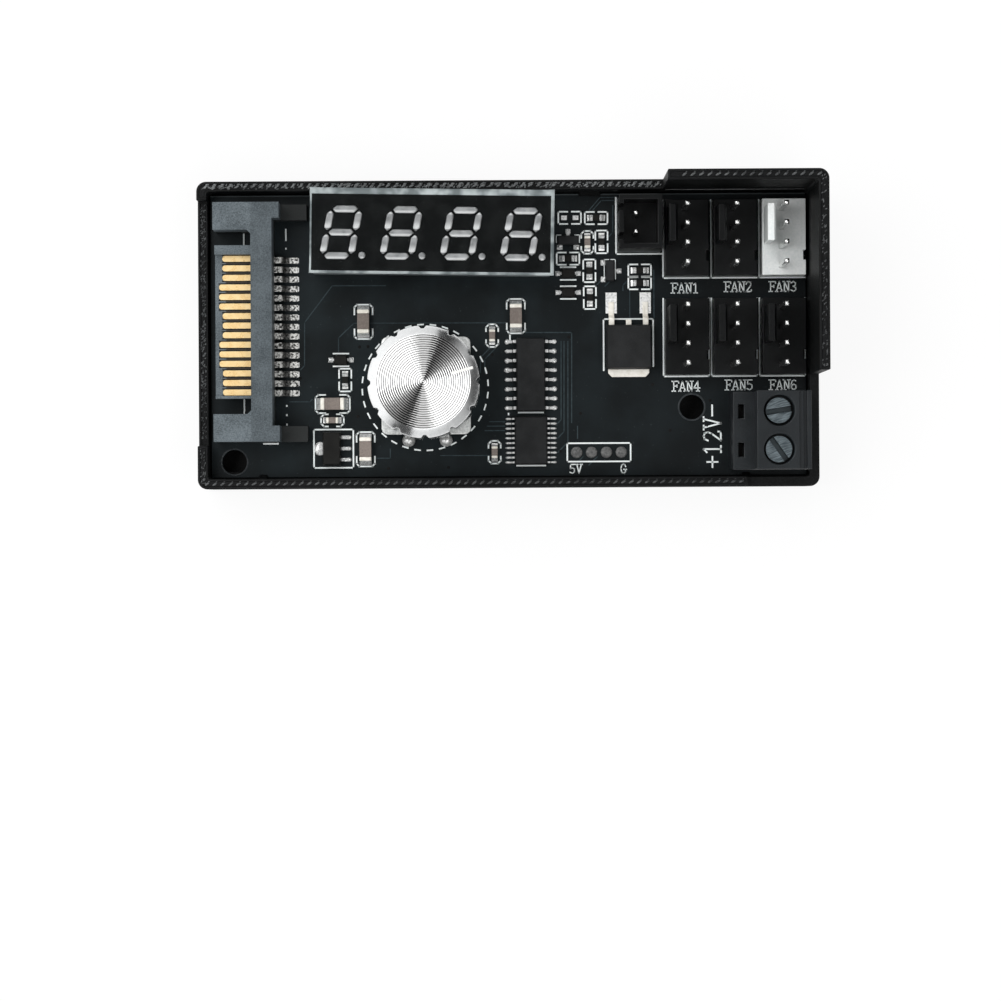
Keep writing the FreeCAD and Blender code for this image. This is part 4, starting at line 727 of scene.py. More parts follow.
sprinkle(far_rope_bm, front_left, Vector((left_x, sill_front - 0.2)), LOW_RIM, 8)
sprinkle(far_rope_bm, Vector((left_x, sill_front + 0.3)), Vector((left_x, sill_back - 0.3)),
         INLET_SILL, 8)
sprinkle(rope_bm, back_left, Vector((raised_left - 0.2, back_y)), LOW_RIM, 6)
# The lit and the shaded copies of the painted highlight.
RIM_FILLS = [("rim_rope", rope_bm, lit_rim_glint), ("far_rim_rope", far_rope_bm, shaded_rim_glint)]
for name, beads_bm, finish in RIM_FILLS:
    shade_smooth(beads_bm.faces)
    print(name, "faces", len(beads_bm.faces))
    piece(beads_bm, name, "case_tray", finish)

# %% [markdown]
# ## The turned knob
# A lathe leaves fine rings on the knob's face, and they split every reflection into a bright bow tie.
# A bump that is baked for export is too coarse for them, so the rings are spun from a wavy profile and
# take the place of the flat face, and the same rings carry painted shade in the grooves. The side, its
# twelve flutes and the bevel come from the solid.

# %% Turned aluminium
knob_low, knob_high = reach("knob")
KNOB_X = (knob_low.x + knob_high.x) / 2
KNOB_Y = (knob_low.y + knob_high.y) / 2
KNOB_TOP = knob_high.z
FACE_RADIUS = 6.06
RINGS = 21
RING_PITCH = FACE_RADIUS / RINGS
RING_DEPTH = 0.04


def brushed_aluminium():
    finish = Finish("brushed_aluminium", METAL)
    brushed = finish.grain(0.3, finish.place(stretch=(1, 1, 6)), detail=3.0)
    silver = finish.tint(brushed, rgb(224, 226, 227), rgb(250, 251, 251))
    return finish.surface(silver, brushed, rough=0.12, depth=0.004, spread=0.12)


def ringed_aluminium():
    finish = Finish("ringed_aluminium", METAL)
    radius = finish.node("ShaderNodeVectorMath", {"operation": "LENGTH"},
                         {0: finish.place((KNOB_X, KNOB_Y, KNOB_TOP))}, "Value")
    groove_shade = 0.5 - (radius * (2 * math.pi / (RING_PITCH * MM))).math("COSINE") * 0.5
    brushed = finish.grain(0.3, detail=3.0)
    ridge = finish.tint(brushed, rgb(232, 233, 233), rgb(252, 252, 252))
    # The grooves carry painted shade.
    ringed = finish.tint(finish.rise(groove_shade, 0.25, 0.75), ridge, rgb(112, 112, 111))
    return finish.surface(ringed, brushed, rough=0.05, depth=0.003, spread=0.06)


knob_finish = brushed_aluminium()
ring_finish = ringed_aluminium()
print("ring pitch", RING_PITCH)

# %% Knob side
KNOB_EDGE = 0.14
FACE_BAND = 0.3
body_bm = merged("knob")
soften(body_bm, KNOB_EDGE)
face_parts = [f for f in body_bm.faces
              if (f.calc_center_median().xy - Vector((KNOB_X, KNOB_Y))).length < FACE_RADIUS
              and f.calc_center_median().z > KNOB_TOP - FACE_BAND]
bmesh.ops.delete(body_bm, geom=face_parts, context="FACES")
knob = piece(body_bm, "knob_side", "knob", knob_finish)
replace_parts(knob, "knob")
print("faces cut away for the rings", len(face_parts))


# %% Rings
def lathe(profile, centre, steps):
    """A profile of (radius, height) turned about an upright axis."""
    bm = bmesh.new()
    verts = [bm.verts.new((centre[0] + r, centre[1], z)) for r, z in profile]
    edges = [bm.edges.new(pair) for pair in zip(verts, verts[1:])]
    bmesh.ops.spin(bm, geom=verts + edges, cent=(*centre, 0), axis=(0, 0, 1), angle=2 * math.pi,
                   steps=steps, use_merge=True)
    bmesh.ops.remove_doubles(bm, verts=bm.verts, dist=0.0005)
    bmesh.ops.recalc_face_normals(bm, faces=bm.faces)
    shade_smooth(bm.faces)
    return bm


RING_POINTS = 5
FACE_STEPS = 144
FACE_SKIRT = 0.4
wave = [(i * RING_PITCH / RING_POINTS,
         KNOB_TOP - RING_DEPTH * (0.5 - 0.5 * math.cos(2 * math.pi * i / RING_POINTS)))
        for i in range(RINGS * RING_POINTS + 1)]
skirt = [(FACE_RADIUS, KNOB_TOP - FACE_SKIRT), (0, KNOB_TOP - FACE_SKIRT)]
face_bm = lathe(wave + skirt, (KNOB_X, KNOB_Y), FACE_STEPS)
print("knob face", len(face_bm.faces))
piece(face_bm, "knob_face", "knob", ring_finish)

# %% [markdown]
# ## Bars and strokes
# Print on a board, the tracks under its mask and the pads are all flat strips a few hundredths of a
# millimetre high. Each is a scaled cube laid between two points, and a path is a row of them. Where a
# node holds many small solids, its connected groups of vertices tell where each one is.

# %% Flat strips
INK = 0.025


def bar(bm, start, end, width, thick, low=BOARD_TOP):
    (x0, y0), (x1, y1) = start, end
    run = math.hypot(x1 - x0, y1 - y0)
    bmesh.ops.create_cube(bm, size=1, matrix=(
        Matrix.Translation(((x0 + x1) / 2, (y0 + y1) / 2, low + thick / 2))
        @ Matrix.Rotation(math.atan2(y1 - y0, x1 - x0), 4, "Z")
        @ Matrix.Diagonal((run + width, width, thick, 1))))


def path(bm, points, width, thick):
    for start, end in zip(points, points[1:]):
        bar(bm, start, end, width, thick)


def islands(node):
    """(low, high) corners in millimetres of each separate solid of a node, in a steady order."""
    bm = joined(node)
    left = dict.fromkeys(bm.verts)
    boxes = []
    while left:
        group = [left.popitem()[0]]
        for vert in group:
            for edge in vert.link_edges:
                other = edge.other_vert(vert)
                if other in left:
                    del left[other]
                    group.append(other)
        boxes.append([Vector([pick(v.co[i] for v in group) for i in range(3)]) for pick in (min, max)])
    bm.free()
    return boxes


# %% [markdown]
# ## Small openings
# Each inlet contact lies in a slot of the tongue, and the two black strips beside it are painted shade
# in the gaps, which makes the gold stand out. The raised back wall has a printed seam where the low
# wall's rim runs on behind the headers; it takes the rim's painted highlight.

# %% Contact slots and wall seam
slot_bm = bmesh.new()
SLOT_GAP = 0.13
SLOT_SINK = 0.05
SLOT_PROUD = 0.01
contact_boxes = islands("sata_contacts")
bar_left = bar_low.x + BAR_FROM
for low, high in contact_boxes:
    for y in (low.y - SLOT_GAP / 2, high.y + SLOT_GAP / 2):
        bar(slot_bm, (low.x, y), (bar_left, y), SLOT_GAP, SLOT_SINK + SLOT_PROUD, high.z - SLOT_SINK)
piece(slot_bm, "contact_slots", "sata_housing", black_and_painted_shade)
SEAM_WIDTH = 0.12
SEAM_HEIGHT = 0.08
seam_bm = bmesh.new()
seam_y = tray_high.y - WALL
seam_ends = [(raised_left + 0.4, seam_y), (tray_high.x - WALL - 0.6, seam_y)]
bar(seam_bm, *seam_ends, SEAM_WIDTH, SEAM_HEIGHT, LOW_RIM)
# The seam takes the rim's painted highlight.
piece(seam_bm, "wall_seam", "case_tray", lit_rim_glint)
print("contact slots", 2 * len(contact_boxes))

# %% [markdown]
# ## Silkscreen
# White ink frames each part so that it can be placed and checked. Capacitors get brackets with cut
# corners, resistors square ones, and connectors a frame. The sizes follow the parts they surround.

# %% Bracket strokes
FINE_INK = 0.2
ink_bm = bmesh.new()


def brackets(bm, low, high, margin, cut, gap):
    """Two U-shaped strokes round a part, open in the middle of its long sides."""
    middle = (low + high) / 2
    size = high - low
    lengthways = size.x > size.y
    long_half = max(size.x, size.y) / 2 + margin[0]
    short_half = min(size.x, size.y) / 2 + margin[1]
    for side in (-1, 1):
        stroke = [(side * gap, -short_half), (side * (long_half - cut), -short_half),
                  (side * long_half, -short_half + cut), (side * long_half, short_half - cut),
                  (side * (long_half - cut), short_half), (side * gap, short_half)]
        spots = [(middle.x + a, middle.y + b) if lengthways else (middle.x + b, middle.y + a)
                 for a, b in stroke]
        path(bm, spots, FINE_INK, INK)


# %% Chip parts and their brackets
def pairs(bodies, ends):
    """Whole parts: each body's box grown by the two ends that touch it."""
    whole = []
    caps = islands(ends)
    for low, high in islands(bodies):
        for end_low, end_high in caps:
            if ((end_low + end_high) / 2 - (low + high) / 2).xy.length < (high - low).xy.length:
                low = Vector(map(min, low, end_low))
                high = Vector(map(max, high, end_high))
        whole.append((low, high))
    return whole


large_parts = pairs("large_capacitor_bodies", "large_capacitor_ends")
small_parts = pairs("small_capacitor_bodies", "small_capacitor_ends")
resistor_parts = pairs("resistor_bodies", "resistor_ends")
SPARE_PLACE = (Vector((7.5, 15.3, BOARD_TOP)), Vector((9.1, 16.1, BOARD_TOP)))
BRACKETED = [(large_parts, (0.7, 0.42), 0.35, 1.0), (small_parts, (0.72, 0.42), 0.4, 0.6),
             (resistor_parts + [SPARE_PLACE], (0.72, 0.42), 0.0, 0.3)]
for parts, margin, cut, gap in BRACKETED:
    for low, high in parts:
        brackets(ink_bm, low, high, margin, cut, gap)
DIODE_MARGIN = (0.1, 0.2)
for low, high in islands("diode_bodies"):
    for y in (low.y - DIODE_MARGIN[1], high.y + DIODE_MARGIN[1]):
        bar(ink_bm, (low.x - DIODE_MARGIN[0], y), (high.x + DIODE_MARGIN[0], y), FINE_INK, INK)
print("framed parts", len(large_parts) + len(small_parts) + len(resistor_parts))


# %% Frames round the larger parts
def frame_sides(bm, low, high, margin, sides):
    """Chosen sides (left, right, front, back) of a rectangle round a part."""
    x0, x1 = low.x - margin[0], high.x + margin[0]
    y0, y1 = low.y - margin[1], high.y + margin[1]
    runs = {"left": ((x0, y0), (x0, y1)), "right": ((x1, y0), (x1, y1)),
            "front": ((x0, y0), (x1, y0)), "back": ((x0, y1), (x1, y1))}
    for side in sides:
        bar(bm, *runs[side], FINE_INK, INK)


ALL_ROUND = ("left", "right", "front", "back")
frame_sides(ink_bm, *reach("aux_header"), (0.15, 0.2), ("left", "front"))
for number in range(1, FAN_HEADERS + 1):
    back_row = number <= FAN_HEADERS / 2
    frame_sides(ink_bm, *reach(f"fan_header_{number}"), (0.16, 0.13),
                ("left", "front") if back_row else ("left", "front", "right"))
frame_sides(ink_bm, *reach("wire_pads"), (0.5, 0.5), ALL_ROUND)
frame_sides(ink_bm, *reach("regulator_body", "regulator_leadframe"), (0.62, 0.32), ALL_ROUND)
print("framed headers", FAN_HEADERS + 1)

# %% Marks at the packages
MOSFET_MARGIN = (0.28, 0.85)
MOSFET_ENDS = (-0.1, 0.4)
mosfet_low, mosfet_high = reach("mosfet_body")
ink_left, ink_right = mosfet_low.x - MOSFET_MARGIN[0], mosfet_high.x + MOSFET_MARGIN[0]
ink_back = mosfet_high.y + MOSFET_MARGIN[1]
path(ink_bm, [(ink_left, mosfet_low.y + MOSFET_ENDS[0]), (ink_left, ink_back), (ink_right, ink_back),
              (ink_right, mosfet_low.y + MOSFET_ENDS[1])], FINE_INK, INK)
MARK_GAP = 0.1
CHIP_INSET = 0.3
for chip in ("driver_chip_body", "controller_chip_body"):
    low, high = reach(chip)
    front = low.y - MARK_GAP
    bar(ink_bm, (low.x + CHIP_INSET, front), (high.x - CHIP_INSET, front), FINE_INK, INK)
CORNER_ARM = 0.6
CORNER_FROM = 0.4
CORNER_INK = 0.12
for low, high in islands("transistor_bodies"):
    back = high.y + MARK_GAP
    for corner, inward in ((low.x - MARK_GAP, CORNER_ARM), (high.x + MARK_GAP, -CORNER_ARM)):
        path(ink_bm, [(corner, low.y + CORNER_FROM), (corner, back), (corner + inward, back)],
             CORNER_INK, INK)
print("ink strokes with the package marks", len(ink_bm.faces) // 6)

# %% Short marks
INLET_LINE = -29.8
INLET_DASHES = [(14.35, 12.9), (11.8, 11.75), (-9.3, -9.35), (-10.55, -10.6), (-11.8, -11.85)]
marks = [((INLET_LINE, start), (INLET_LINE, end)) for start, end in INLET_DASHES]
marks += [((-35.45, 13.95), (-35.45, 12.1)), ((-35.5, -8.4), (-35.5, -10.25)),
          ((-32.9, -14.4), (-31.0, -14.4)), ((0.2, -0.05), (0.2, -0.6)),
          ((-0.05, -10.55), (-0.05, -10.65))]
for start, end in marks:
    bar(ink_bm, start, end, FINE_INK, INK)
print("short marks", len(marks))

# %% Dashed ring at the encoder
ENCODER_RING = 8.46
RING_SHIFT = 0.27
RING_DASHES = 32
FIRST_DASH = 0.35
DASH_HALF = 0.34 / ENCODER_RING
for i in range(RING_DASHES):
    turn = 2 * math.pi * (i + FIRST_DASH) / RING_DASHES
    ends = [(KNOB_X - RING_SHIFT + ENCODER_RING * math.cos(a), KNOB_Y + ENCODER_RING * math.sin(a))
            for a in (turn - DASH_HALF, turn + DASH_HALF)]
    bar(ink_bm, *ends, FINE_INK, INK)
print("ink strokes", len(ink_bm.faces) // 6)

# %% [markdown]
# ## Lettering
# The marks that say what plugs in where are plain functional words and numbers. Blender's own font has
# no serifs, so the few letters needed are drawn as strokes on a grid of four by six, slab feet included.

# %% Stroke letters
LETTERS = {
    "F": [[(0, 0), (2, 0)], [(1, 0), (1, 6)], [(0, 6), (4, 6), (4, 5)], [(1, 3.1), (3, 3.1)],
          [(3, 3.7), (3, 2.5)]],
    "A": [[(0.3, 0), (2, 6), (3.7, 0)], [(0.9, 2), (3.1, 2)], [(-0.3, 0), (1, 0)], [(3, 0), (4.3, 0)]],
    "N": [[(0.8, 0), (0.8, 6), (3.4, 0), (3.4, 6)], [(0, 0), (1.6, 0)], [(0, 6), (0.8, 6)],
          [(2.6, 6), (4.2, 6)]],
    "V": [[(0.5, 6), (2, 0), (3.5, 6)], [(-0.2, 6), (1.2, 6)], [(2.8, 6), (4.2, 6)]],
    "G": [[(3.6, 4.4), (3.2, 5.6), (2.2, 6), (1, 5.4), (0.4, 3), (1, 0.6), (2.2, 0), (3.5, 0.6),
           (3.5, 2.5)], [(2.4, 2.5), (4.1, 2.5)]],
    "1": [[(0.9, 5), (2, 6), (2, 0)], [(0.9, 0), (3.1, 0)]],
    "2": [[(0.5, 4.6), (1, 5.7), (2, 6), (3.1, 5.6), (3.4, 4.5), (2.9, 3.2), (0.5, 0), (3.6, 0),
           (3.6, 0.9)]],
    "3": [[(0.6, 5.2), (2, 6), (3.3, 5.2), (3.1, 3.7), (1.8, 3.1), (3.3, 2.4), (3.5, 1), (2.2, 0),
           (0.5, 0.8)]],
    "4": [[(2.8, 0), (2.8, 6), (0.3, 1.9), (3.9, 1.9)], [(2, 0), (3.6, 0)]],
    "5": [[(3.4, 6), (0.9, 6), (0.7, 3.3), (2, 3.7), (3.4, 2.9), (3.4, 1), (2, 0), (0.5, 0.7)]],
    "6": [[(3.2, 5.4), (2.2, 6), (1, 5), (0.5, 3), (0.7, 0.9), (2.1, 0), (3.4, 0.8), (3.4, 2.6),
           (2.1, 3.5), (0.7, 2.4)]],
    "+": [[(0.2, 3), (3.8, 3)], [(2, 1.2), (2, 4.8)]],
    "-": [[(0.2, 3), (3.8, 3)]]}


def write(bm, text, centre, height, pitch, stroke, turn=0):
    """Letters of a given height and spacing about a centre, turned by degrees."""
    turned = Matrix.Rotation(math.radians(turn), 2)
    unit = height / 6
    for i, letter in enumerate(text):
        shift = (i - (len(text) - 1) / 2) * pitch
        for line in LETTERS[letter]:
            grid = [Vector((shift + (u - 2) * unit, (v - 3) * unit)) for u, v in line]
            path(bm, [tuple(turned @ spot + Vector(centre)) for spot in grid], stroke, INK)


# %% Words and numbers
FAN_LETTERS = (1.32, 0.95, 0.15)
POLE_LETTERS = (2.3, 1.73, 0.22)
PAD_LETTERS = (1.2, 0.9, 0.16)
FAN_LABELS = [(23.73, 6.18), (30.85, 6.32), (36.86, 6.32),
              (23.79, -6.99), (30.91, -6.86), (36.81, -6.87)]
for i, centre in enumerate(FAN_LABELS):
    write(ink_bm, f"FAN{i + 1}", centre, *FAN_LETTERS)
write(ink_bm, "+12V-", (27.28, -13.72), *POLE_LETTERS, 90)
write(ink_bm, "5V", (8.92, -18.0), *PAD_LETTERS)
write(ink_bm, "G", (15.3, -18.0), *PAD_LETTERS)
print("ink faces", len(ink_bm.faces))
piece(ink_bm, "silkscreen", "circuit_board", silk_ink)

# %% [markdown]
# ## Tracks, vias and hole rings
# Copper under dark mask shows only as a slightly paler line. A few routes that can be made out between
# the parts are laid as very thin strips, with low dark cones for the vias and a lacquered ring at each
# mounting hole.

# %% Tracks
TRACKS = [
    [(-16.5, 6.74), (-23.62, 6.76), (-27.35, 1.85), (-27.39, -3.94), (-27.91, -4.48)],
    [(-0.4, 1.66), (-20.74, 1.72), (-22.81, -0.24), (-22.82, -2.07)],
    [(-29.4, -8.78), (-26.69, -8.8), (-26.42, -8.49)],
    [(7.06, -0.9), (7.0, -11.4), (6.5, -11.9)], [(7.45, -0.9), (7.38, -13.0), (6.5, -13.9)],
    [(7.97, -0.9), (7.9, -14.4), (6.5, -15.8)], [(1.22, 0.35), (8.49, 0.3), (8.42, -11.78)],
    [(10.94, 16.73), (12.38, 18.4), (14.5, 18.4)], [(11.24, 16.5), (12.55, 18.0), (14.5, 18.0)],
    [(14.1, 17.3), (14.05, 13.7), (13.4, 13.0)], [(16.32, 6.17), (16.3, 2.3)],
    [(15.9, 7.1), (15.4, 6.6), (15.4, 5.9)], [(-18.2, -16.42), (-15.95, -16.43), (-15.95, -15.2)],
    [(-9.2, -16.1), (-1.2, -16.15)], [(-2.15, -1.38), (-3.77, -2.98), (-3.78, -5.0)],
    [(-1.9, -1.9), (-3.2, -3.2), (-3.2, -5.0)], [(19.55, 8.6), (19.55, 2.2)],
    [(12.6, 7.4), (11.6, 6.4)], [(13.9, 7.4), (13.0, 6.5)], [(-2.6, -11.6), (-0.6, -11.6)],
    [(-2.9, -12.2), (-0.6, -12.2)], [(-3.2, -12.8), (-0.6, -12.8)], [(9.2, -12.3), (9.2, -13.9)],
    [(9.9, -16.4), (9.3, -17.0)], [(11.8, -16.4), (10.7, -17.5)]]
TRACK_WIDTH = 0.14
TRACK_HEIGHT = 0.012
track_bm = bmesh.new()
for route in TRACKS:
    path(track_bm, route, TRACK_WIDTH, TRACK_HEIGHT)
print("tracks", len(TRACKS))
piece(track_bm, "mask_covered_tracks", "circuit_board", track_mask)

# %% Vias and rings
VIAS = [(-29.29, 6.16), (-29.27, 5.22), (-29.29, 4.15), (-20.0, -1.48), (-18.86, -1.42), (9.61, -10.57),
        (-20.26, -10.8), (-16.2, -17.8), (-8.15, -17.7), (19.3, -6.74), (-27.95, -5.66), (8.1, -0.3),
        (-2.2, -2.6), (27.0, -8.9), (26.6, -12.3), (21.6, -12.9), (6.9, -15.6)]
VIA_FOOT = 0.2
VIA_CROWN = 0.13
VIA_RISE = 0.03
via_bm = bmesh.new()
for x, y in VIAS:
    bmesh.ops.create_cone(via_bm, cap_ends=True, segments=12, radius1=VIA_FOOT, radius2=VIA_CROWN,
                          depth=VIA_RISE, matrix=Matrix.Translation((x, y, BOARD_TOP + VIA_RISE / 2)))
piece(via_bm, "vias", "circuit_board", black_and_painted_shade)
HOLE_RADIUS = 1.65
HOLE_STEPS = 48
HOLES = [(-36.845, -16.845), (24.545, -9.785)]
RING_SECTION = [(0, 0), (0.02, 0.02), (0.2, 0.025), (0.24, 0), (0, 0)]
ring_profile = [(HOLE_RADIUS + out, BOARD_TOP + up) for out, up in RING_SECTION]
for i, spot in enumerate(HOLES):
    piece(lathe(ring_profile, spot, HOLE_STEPS), f"hole_ring_{i + 1}", "circuit_board", hole_lacquer)
print("vias", len(VIAS))

# %% [markdown]
# ## Solder
# Solder flows a little way past every lead and climbs the plated ends of the chip parts. A part's pad
# is a thin strip, the fillet on a chip end is a wedge with a hollow slope, the solder at a lead is a
# flattened ball half sunk in the board, and the joint at a pin is a low dome. Their bright, uneven
# surface is what makes a bare board sparkle.

# %% Fillets at the chip parts
FILLET_TOE = 0.08
pad_bm = bmesh.new()


def fillet(bm, low, high, side, lengthways, run, rise):
    """A hollow wedge of solder from a plated end down to its pad."""
    across = (low.y, high.y) if lengthways else (low.x, high.x)
    face = (high if side > 0 else low)[0 if lengthways else 1]
    slope = [(0, 0), (run, 0), (run, FILLET_TOE), (run * 0.5, rise * 0.3), (run * 0.15, rise * 0.65),
             (0, rise)]
    wall = []
    for out, up in slope:
        spot = face + side * out
        corner = (spot, across[0]) if lengthways else (across[0], spot)
        wall.append(bm.verts.new((*corner, BOARD_TOP + up)))
    made = bmesh.ops.extrude_face_region(bm, geom=[bm.faces.new(wall)])
    moved = [v for v in made["geom"] if isinstance(v, bmesh.types.BMVert)]
    width = across[1] - across[0]
    bmesh.ops.translate(bm, vec=(0, width, 0) if lengthways else (width, 0, 0), verts=moved)


FILLETS = [(large_parts, 0.5, 0.7), (small_parts, 0.42, 0.6), (resistor_parts, 0.4, 0.8)]
for parts, run, share in FILLETS:
    for low, high in parts:
        lengthways = high.x - low.x > high.y - low.y
        for side in (-1, 1):
            fillet(pad_bm, low, high, side, lengthways, run, (high.z - BOARD_TOP) * share)
bmesh.ops.recalc_face_normals(pad_bm, faces=pad_bm.faces)
print("fillets", 2 * (len(large_parts) + len(small_parts) + len(resistor_parts)))

# %% Pads of the inlet, the power transistor and the spare place
PLATE = 0.05
INLET_PAD = (1.4, 0.2)
INLET_PAD_WIDTH = 0.64
plate_bm = bmesh.new()
for low, high in contact_boxes:
    middle = (low.y + high.y) / 2
    bar(plate_bm, *[(high.x - back, middle) for back in INLET_PAD], INLET_PAD_WIDTH, PLATE)
MOSFET_PAD = (-0.8, 0.5)
MOSFET_PAD_WIDTH = 1.5
LEG_HEIGHT = 1
for low, high in islands("mosfet_leadframe"):
    middle = (low.x + high.x) / 2
    if high.z - low.z > LEG_HEIGHT:
        bar(plate_bm, *[(middle, high.y + out) for out in MOSFET_PAD], MOSFET_PAD_WIDTH, PLATE)
SPARE_PADS = [(7.55, 15.7), (9.09, 15.7)]
SPARE_PAD_WIDTH = 0.6
SPARE_HALF = 0.08
for x, y in SPARE_PADS:
    bar(plate_bm, (x - SPARE_HALF, y), (x + SPARE_HALF, y), SPARE_PAD_WIDTH, PLATE)
print("pads", len(plate_bm.faces) // 6)
piece(plate_bm, "tinned_pads", "encoder_solder", pad_tin)


# %% Solder at the leads
def blob(bm, x, y, size):
    bmesh.ops.create_uvsphere(bm, u_segments=10, v_segments=6, radius=0.5, matrix=(
        Matrix.Translation((x, y, BOARD_TOP)) @ Matrix.Diagonal((*size, 1))))


UNEVEN = (0.85, 1.15)
TOE_INSET = 0.05
CHIP_FEET = [("driver_chip_leads", "driver_chip_body", (0.78, 0.68, 0.44)),
             ("controller_chip_leads", "controller_chip_body", (0.62, 0.34, 0.34))]
for leads, chip, size in CHIP_FEET:
    chip_low, chip_high = reach(chip)
    for low, high in islands(leads):
        outward = 1 if low.x > (chip_low.x + chip_high.x) / 2 else -1
        foot = high.x if outward > 0 else low.x
        uneven = [side * random.uniform(*UNEVEN) for side in size]
        blob(pad_bm, foot - outward * TOE_INSET, (low.y + high.y) / 2, uneven)
print("chip solder faces", len(pad_bm.faces))

# %% Solder at the transistors and diodes
PAD_AWAY = 0.3
PAD_SIDE = 0.62
PAD_STRETCH = 0.01
BLOB_ALONG = (0.7, 0.6, 0.3)
BLOB_ACROSS = (0.6, 0.7, 0.3)
for leads, bodies in (("transistor_leads", "transistor_bodies"), ("diode_leads", "diode_bodies")):
    centres = [(low + high) / 2 for low, high in islands(bodies)]
    for low, high in islands(leads):
        middle = (low + high) / 2
        nearest = min(centres, key=lambda centre: (centre - middle).length)
        away = (middle - nearest).xy.normalized() * PAD_AWAY
        sideways = abs(away.x) > abs(away.y)
        spot = (middle.x + away.x, middle.y) if sideways else (middle.x, middle.y + away.y)
        bar(pad_bm, spot, (spot[0] + PAD_STRETCH, spot[1]), PAD_SIDE, PLATE)
        blob(pad_bm, *spot, BLOB_ALONG if sideways else BLOB_ACROSS)
print("lead solder faces", len(pad_bm.faces))

# %% Solder at the regulator
TAB_WIDTH = 1
TAB_INSET = 0.15
TAB_BLOB = (1.5, 1.9, 0.6)
LEG_BLOB = (0.8, 0.6, 0.4)
CREASE = math.radians(50)
for low, high in islands("regulator_leadframe"):
    middle = (low.y + high.y) / 2
    if high.y - low.y > TAB_WIDTH:
        blob(pad_bm, low.x + TAB_INSET, middle, TAB_BLOB)
    else:
        blob(pad_bm, high.x, middle, LEG_BLOB)
shade_smooth(pad_bm.faces)
for edge in pad_bm.edges:
    edge.smooth = edge.is_manifold and edge.calc_face_angle(0) < CREASE
print("solder faces", len(pad_bm.faces))
piece(pad_bm, "pads_and_solder", "encoder_solder", solder)


# %% Domes at the encoder's pins and the wire pads
DOME_STEPS = 24


def dome_profile(radius, height, steps=6):
    turns = [math.pi / 2 * i / steps for i in range(steps)]
    arc = [(radius * math.cos(a), BOARD_TOP + height * math.sin(a)) for a in turns]
    return arc + [(0, BOARD_TOP + height), (0, BOARD_TOP), arc[0]]


def domes(node, name, radius, height, finish):
    shape = template(lathe(dome_profile(radius, height), (0, 0), DOME_STEPS))
    bm = bmesh.new()
    for low, high in islands(node):
        middle = (low + high) / 2
        set_down(bm, shape, Matrix.Translation((middle.x, middle.y, 0)))
    shade_smooth(bm.faces)
    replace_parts(piece(bm, name, node, finish), node)
    print(name, radius, height)


domes("encoder_solder", "switch_pin_solder", 0.9, 1.1, solder)
domes("wire_pads", "filled_wire_pads", 0.78, 0.22, dull_solder)

# %% [markdown]
# ## The film on the display
# The clear sheet that protects the display in transit is still on. It is a thin plate a hair above the
# face, a little longer than the shell, and the corners that nothing holds have curled up.

# %% Protective film
film_low, film_high = reach("display_film")
film_mid = (film_low + film_high) / 2
FILM_SIZE = (32.24, 11.3, 1)
FILM_THICK = 0.05
FILM_SHIFT = Vector((0.1, -0.1, 0.08))
CURL_FROM = 0.6
CURL = 0.5
RIPPLE = 0.02
RIPPLE_TURN = 1.3
film_bm = bmesh.new()
bmesh.ops.create_grid(film_bm, x_segments=40, y_segments=16, size=0.5)
bmesh.ops.scale(film_bm, vec=FILM_SIZE, verts=film_bm.verts)
for vert in film_bm.verts:
    past_x = max(0, abs(vert.co.x) - DISPLAY_SIZE[0] / 2 + CURL_FROM)
    past_y = max(0, abs(vert.co.y) - DISPLAY_SIZE[1] / 2 + CURL_FROM)
    vert.co.z = CURL * past_x * past_y + RIPPLE * math.sin(vert.co.x * RIPPLE_TURN)
bmesh.ops.rotate(film_bm, cent=(0, 0, 0), matrix=Matrix.Rotation(math.radians(DISPLAY_SKEW), 3, "Z"),
                 verts=film_bm.verts)
film_spot = Vector((film_mid.x, film_mid.y, film_low.z)) + FILM_SHIFT
bmesh.ops.translate(film_bm, vec=film_spot, verts=film_bm.verts)
bmesh.ops.solidify(film_bm, geom=film_bm.faces, thickness=FILM_THICK)
shade_smooth(film_bm.faces)
film = piece(film_bm, "protective_film", "display_film", film_finish)
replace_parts(film, "display_film")
print("film", FILM_SIZE)

# %% [markdown]
# ## Pointer
# The knob's pointer is an engraved cut that reflects the light, drawn as a white strip that is a
# painted highlight. It lies flush with the ridges of the ringed face and runs out over the bevel.

# %% White pointer
POINTER_ANGLE = math.radians(15.5)
POINTER_RUN = (3.95, 6.4)
POINTER_DEPTH = 0.35
POINTER_WIDTH = 0.34
pointer_glint = grained("pointer_glint_paint", rgb(226, 226, 222), rgb(250, 250, 246), 0.1, 0.55, 0.02, SATIN)
pointer_bm = bmesh.new()
ends = [(KNOB_X + r * math.cos(POINTER_ANGLE), KNOB_Y + r * math.sin(POINTER_ANGLE))
        for r in POINTER_RUN]
bar(pointer_bm, *ends, POINTER_WIDTH, POINTER_DEPTH, KNOB_TOP - POINTER_DEPTH)
piece(pointer_bm, "pointer", "knob", pointer_glint)
print("pointer", POINTER_RUN)

# %% [markdown]
# ## Stage, light and camera
# The view is that of a copy stand: the camera hangs straight over a white sheet and looks down, with
# soft boxes on two sides inside a light tent, brighter on the left. The tent has a dark gap to the back
# right and front left with one sharp side, next to a bright panel, which is what draws the dark wedges
# across the turned knob. It is dim round the lens and low on the right, so that black stays black.

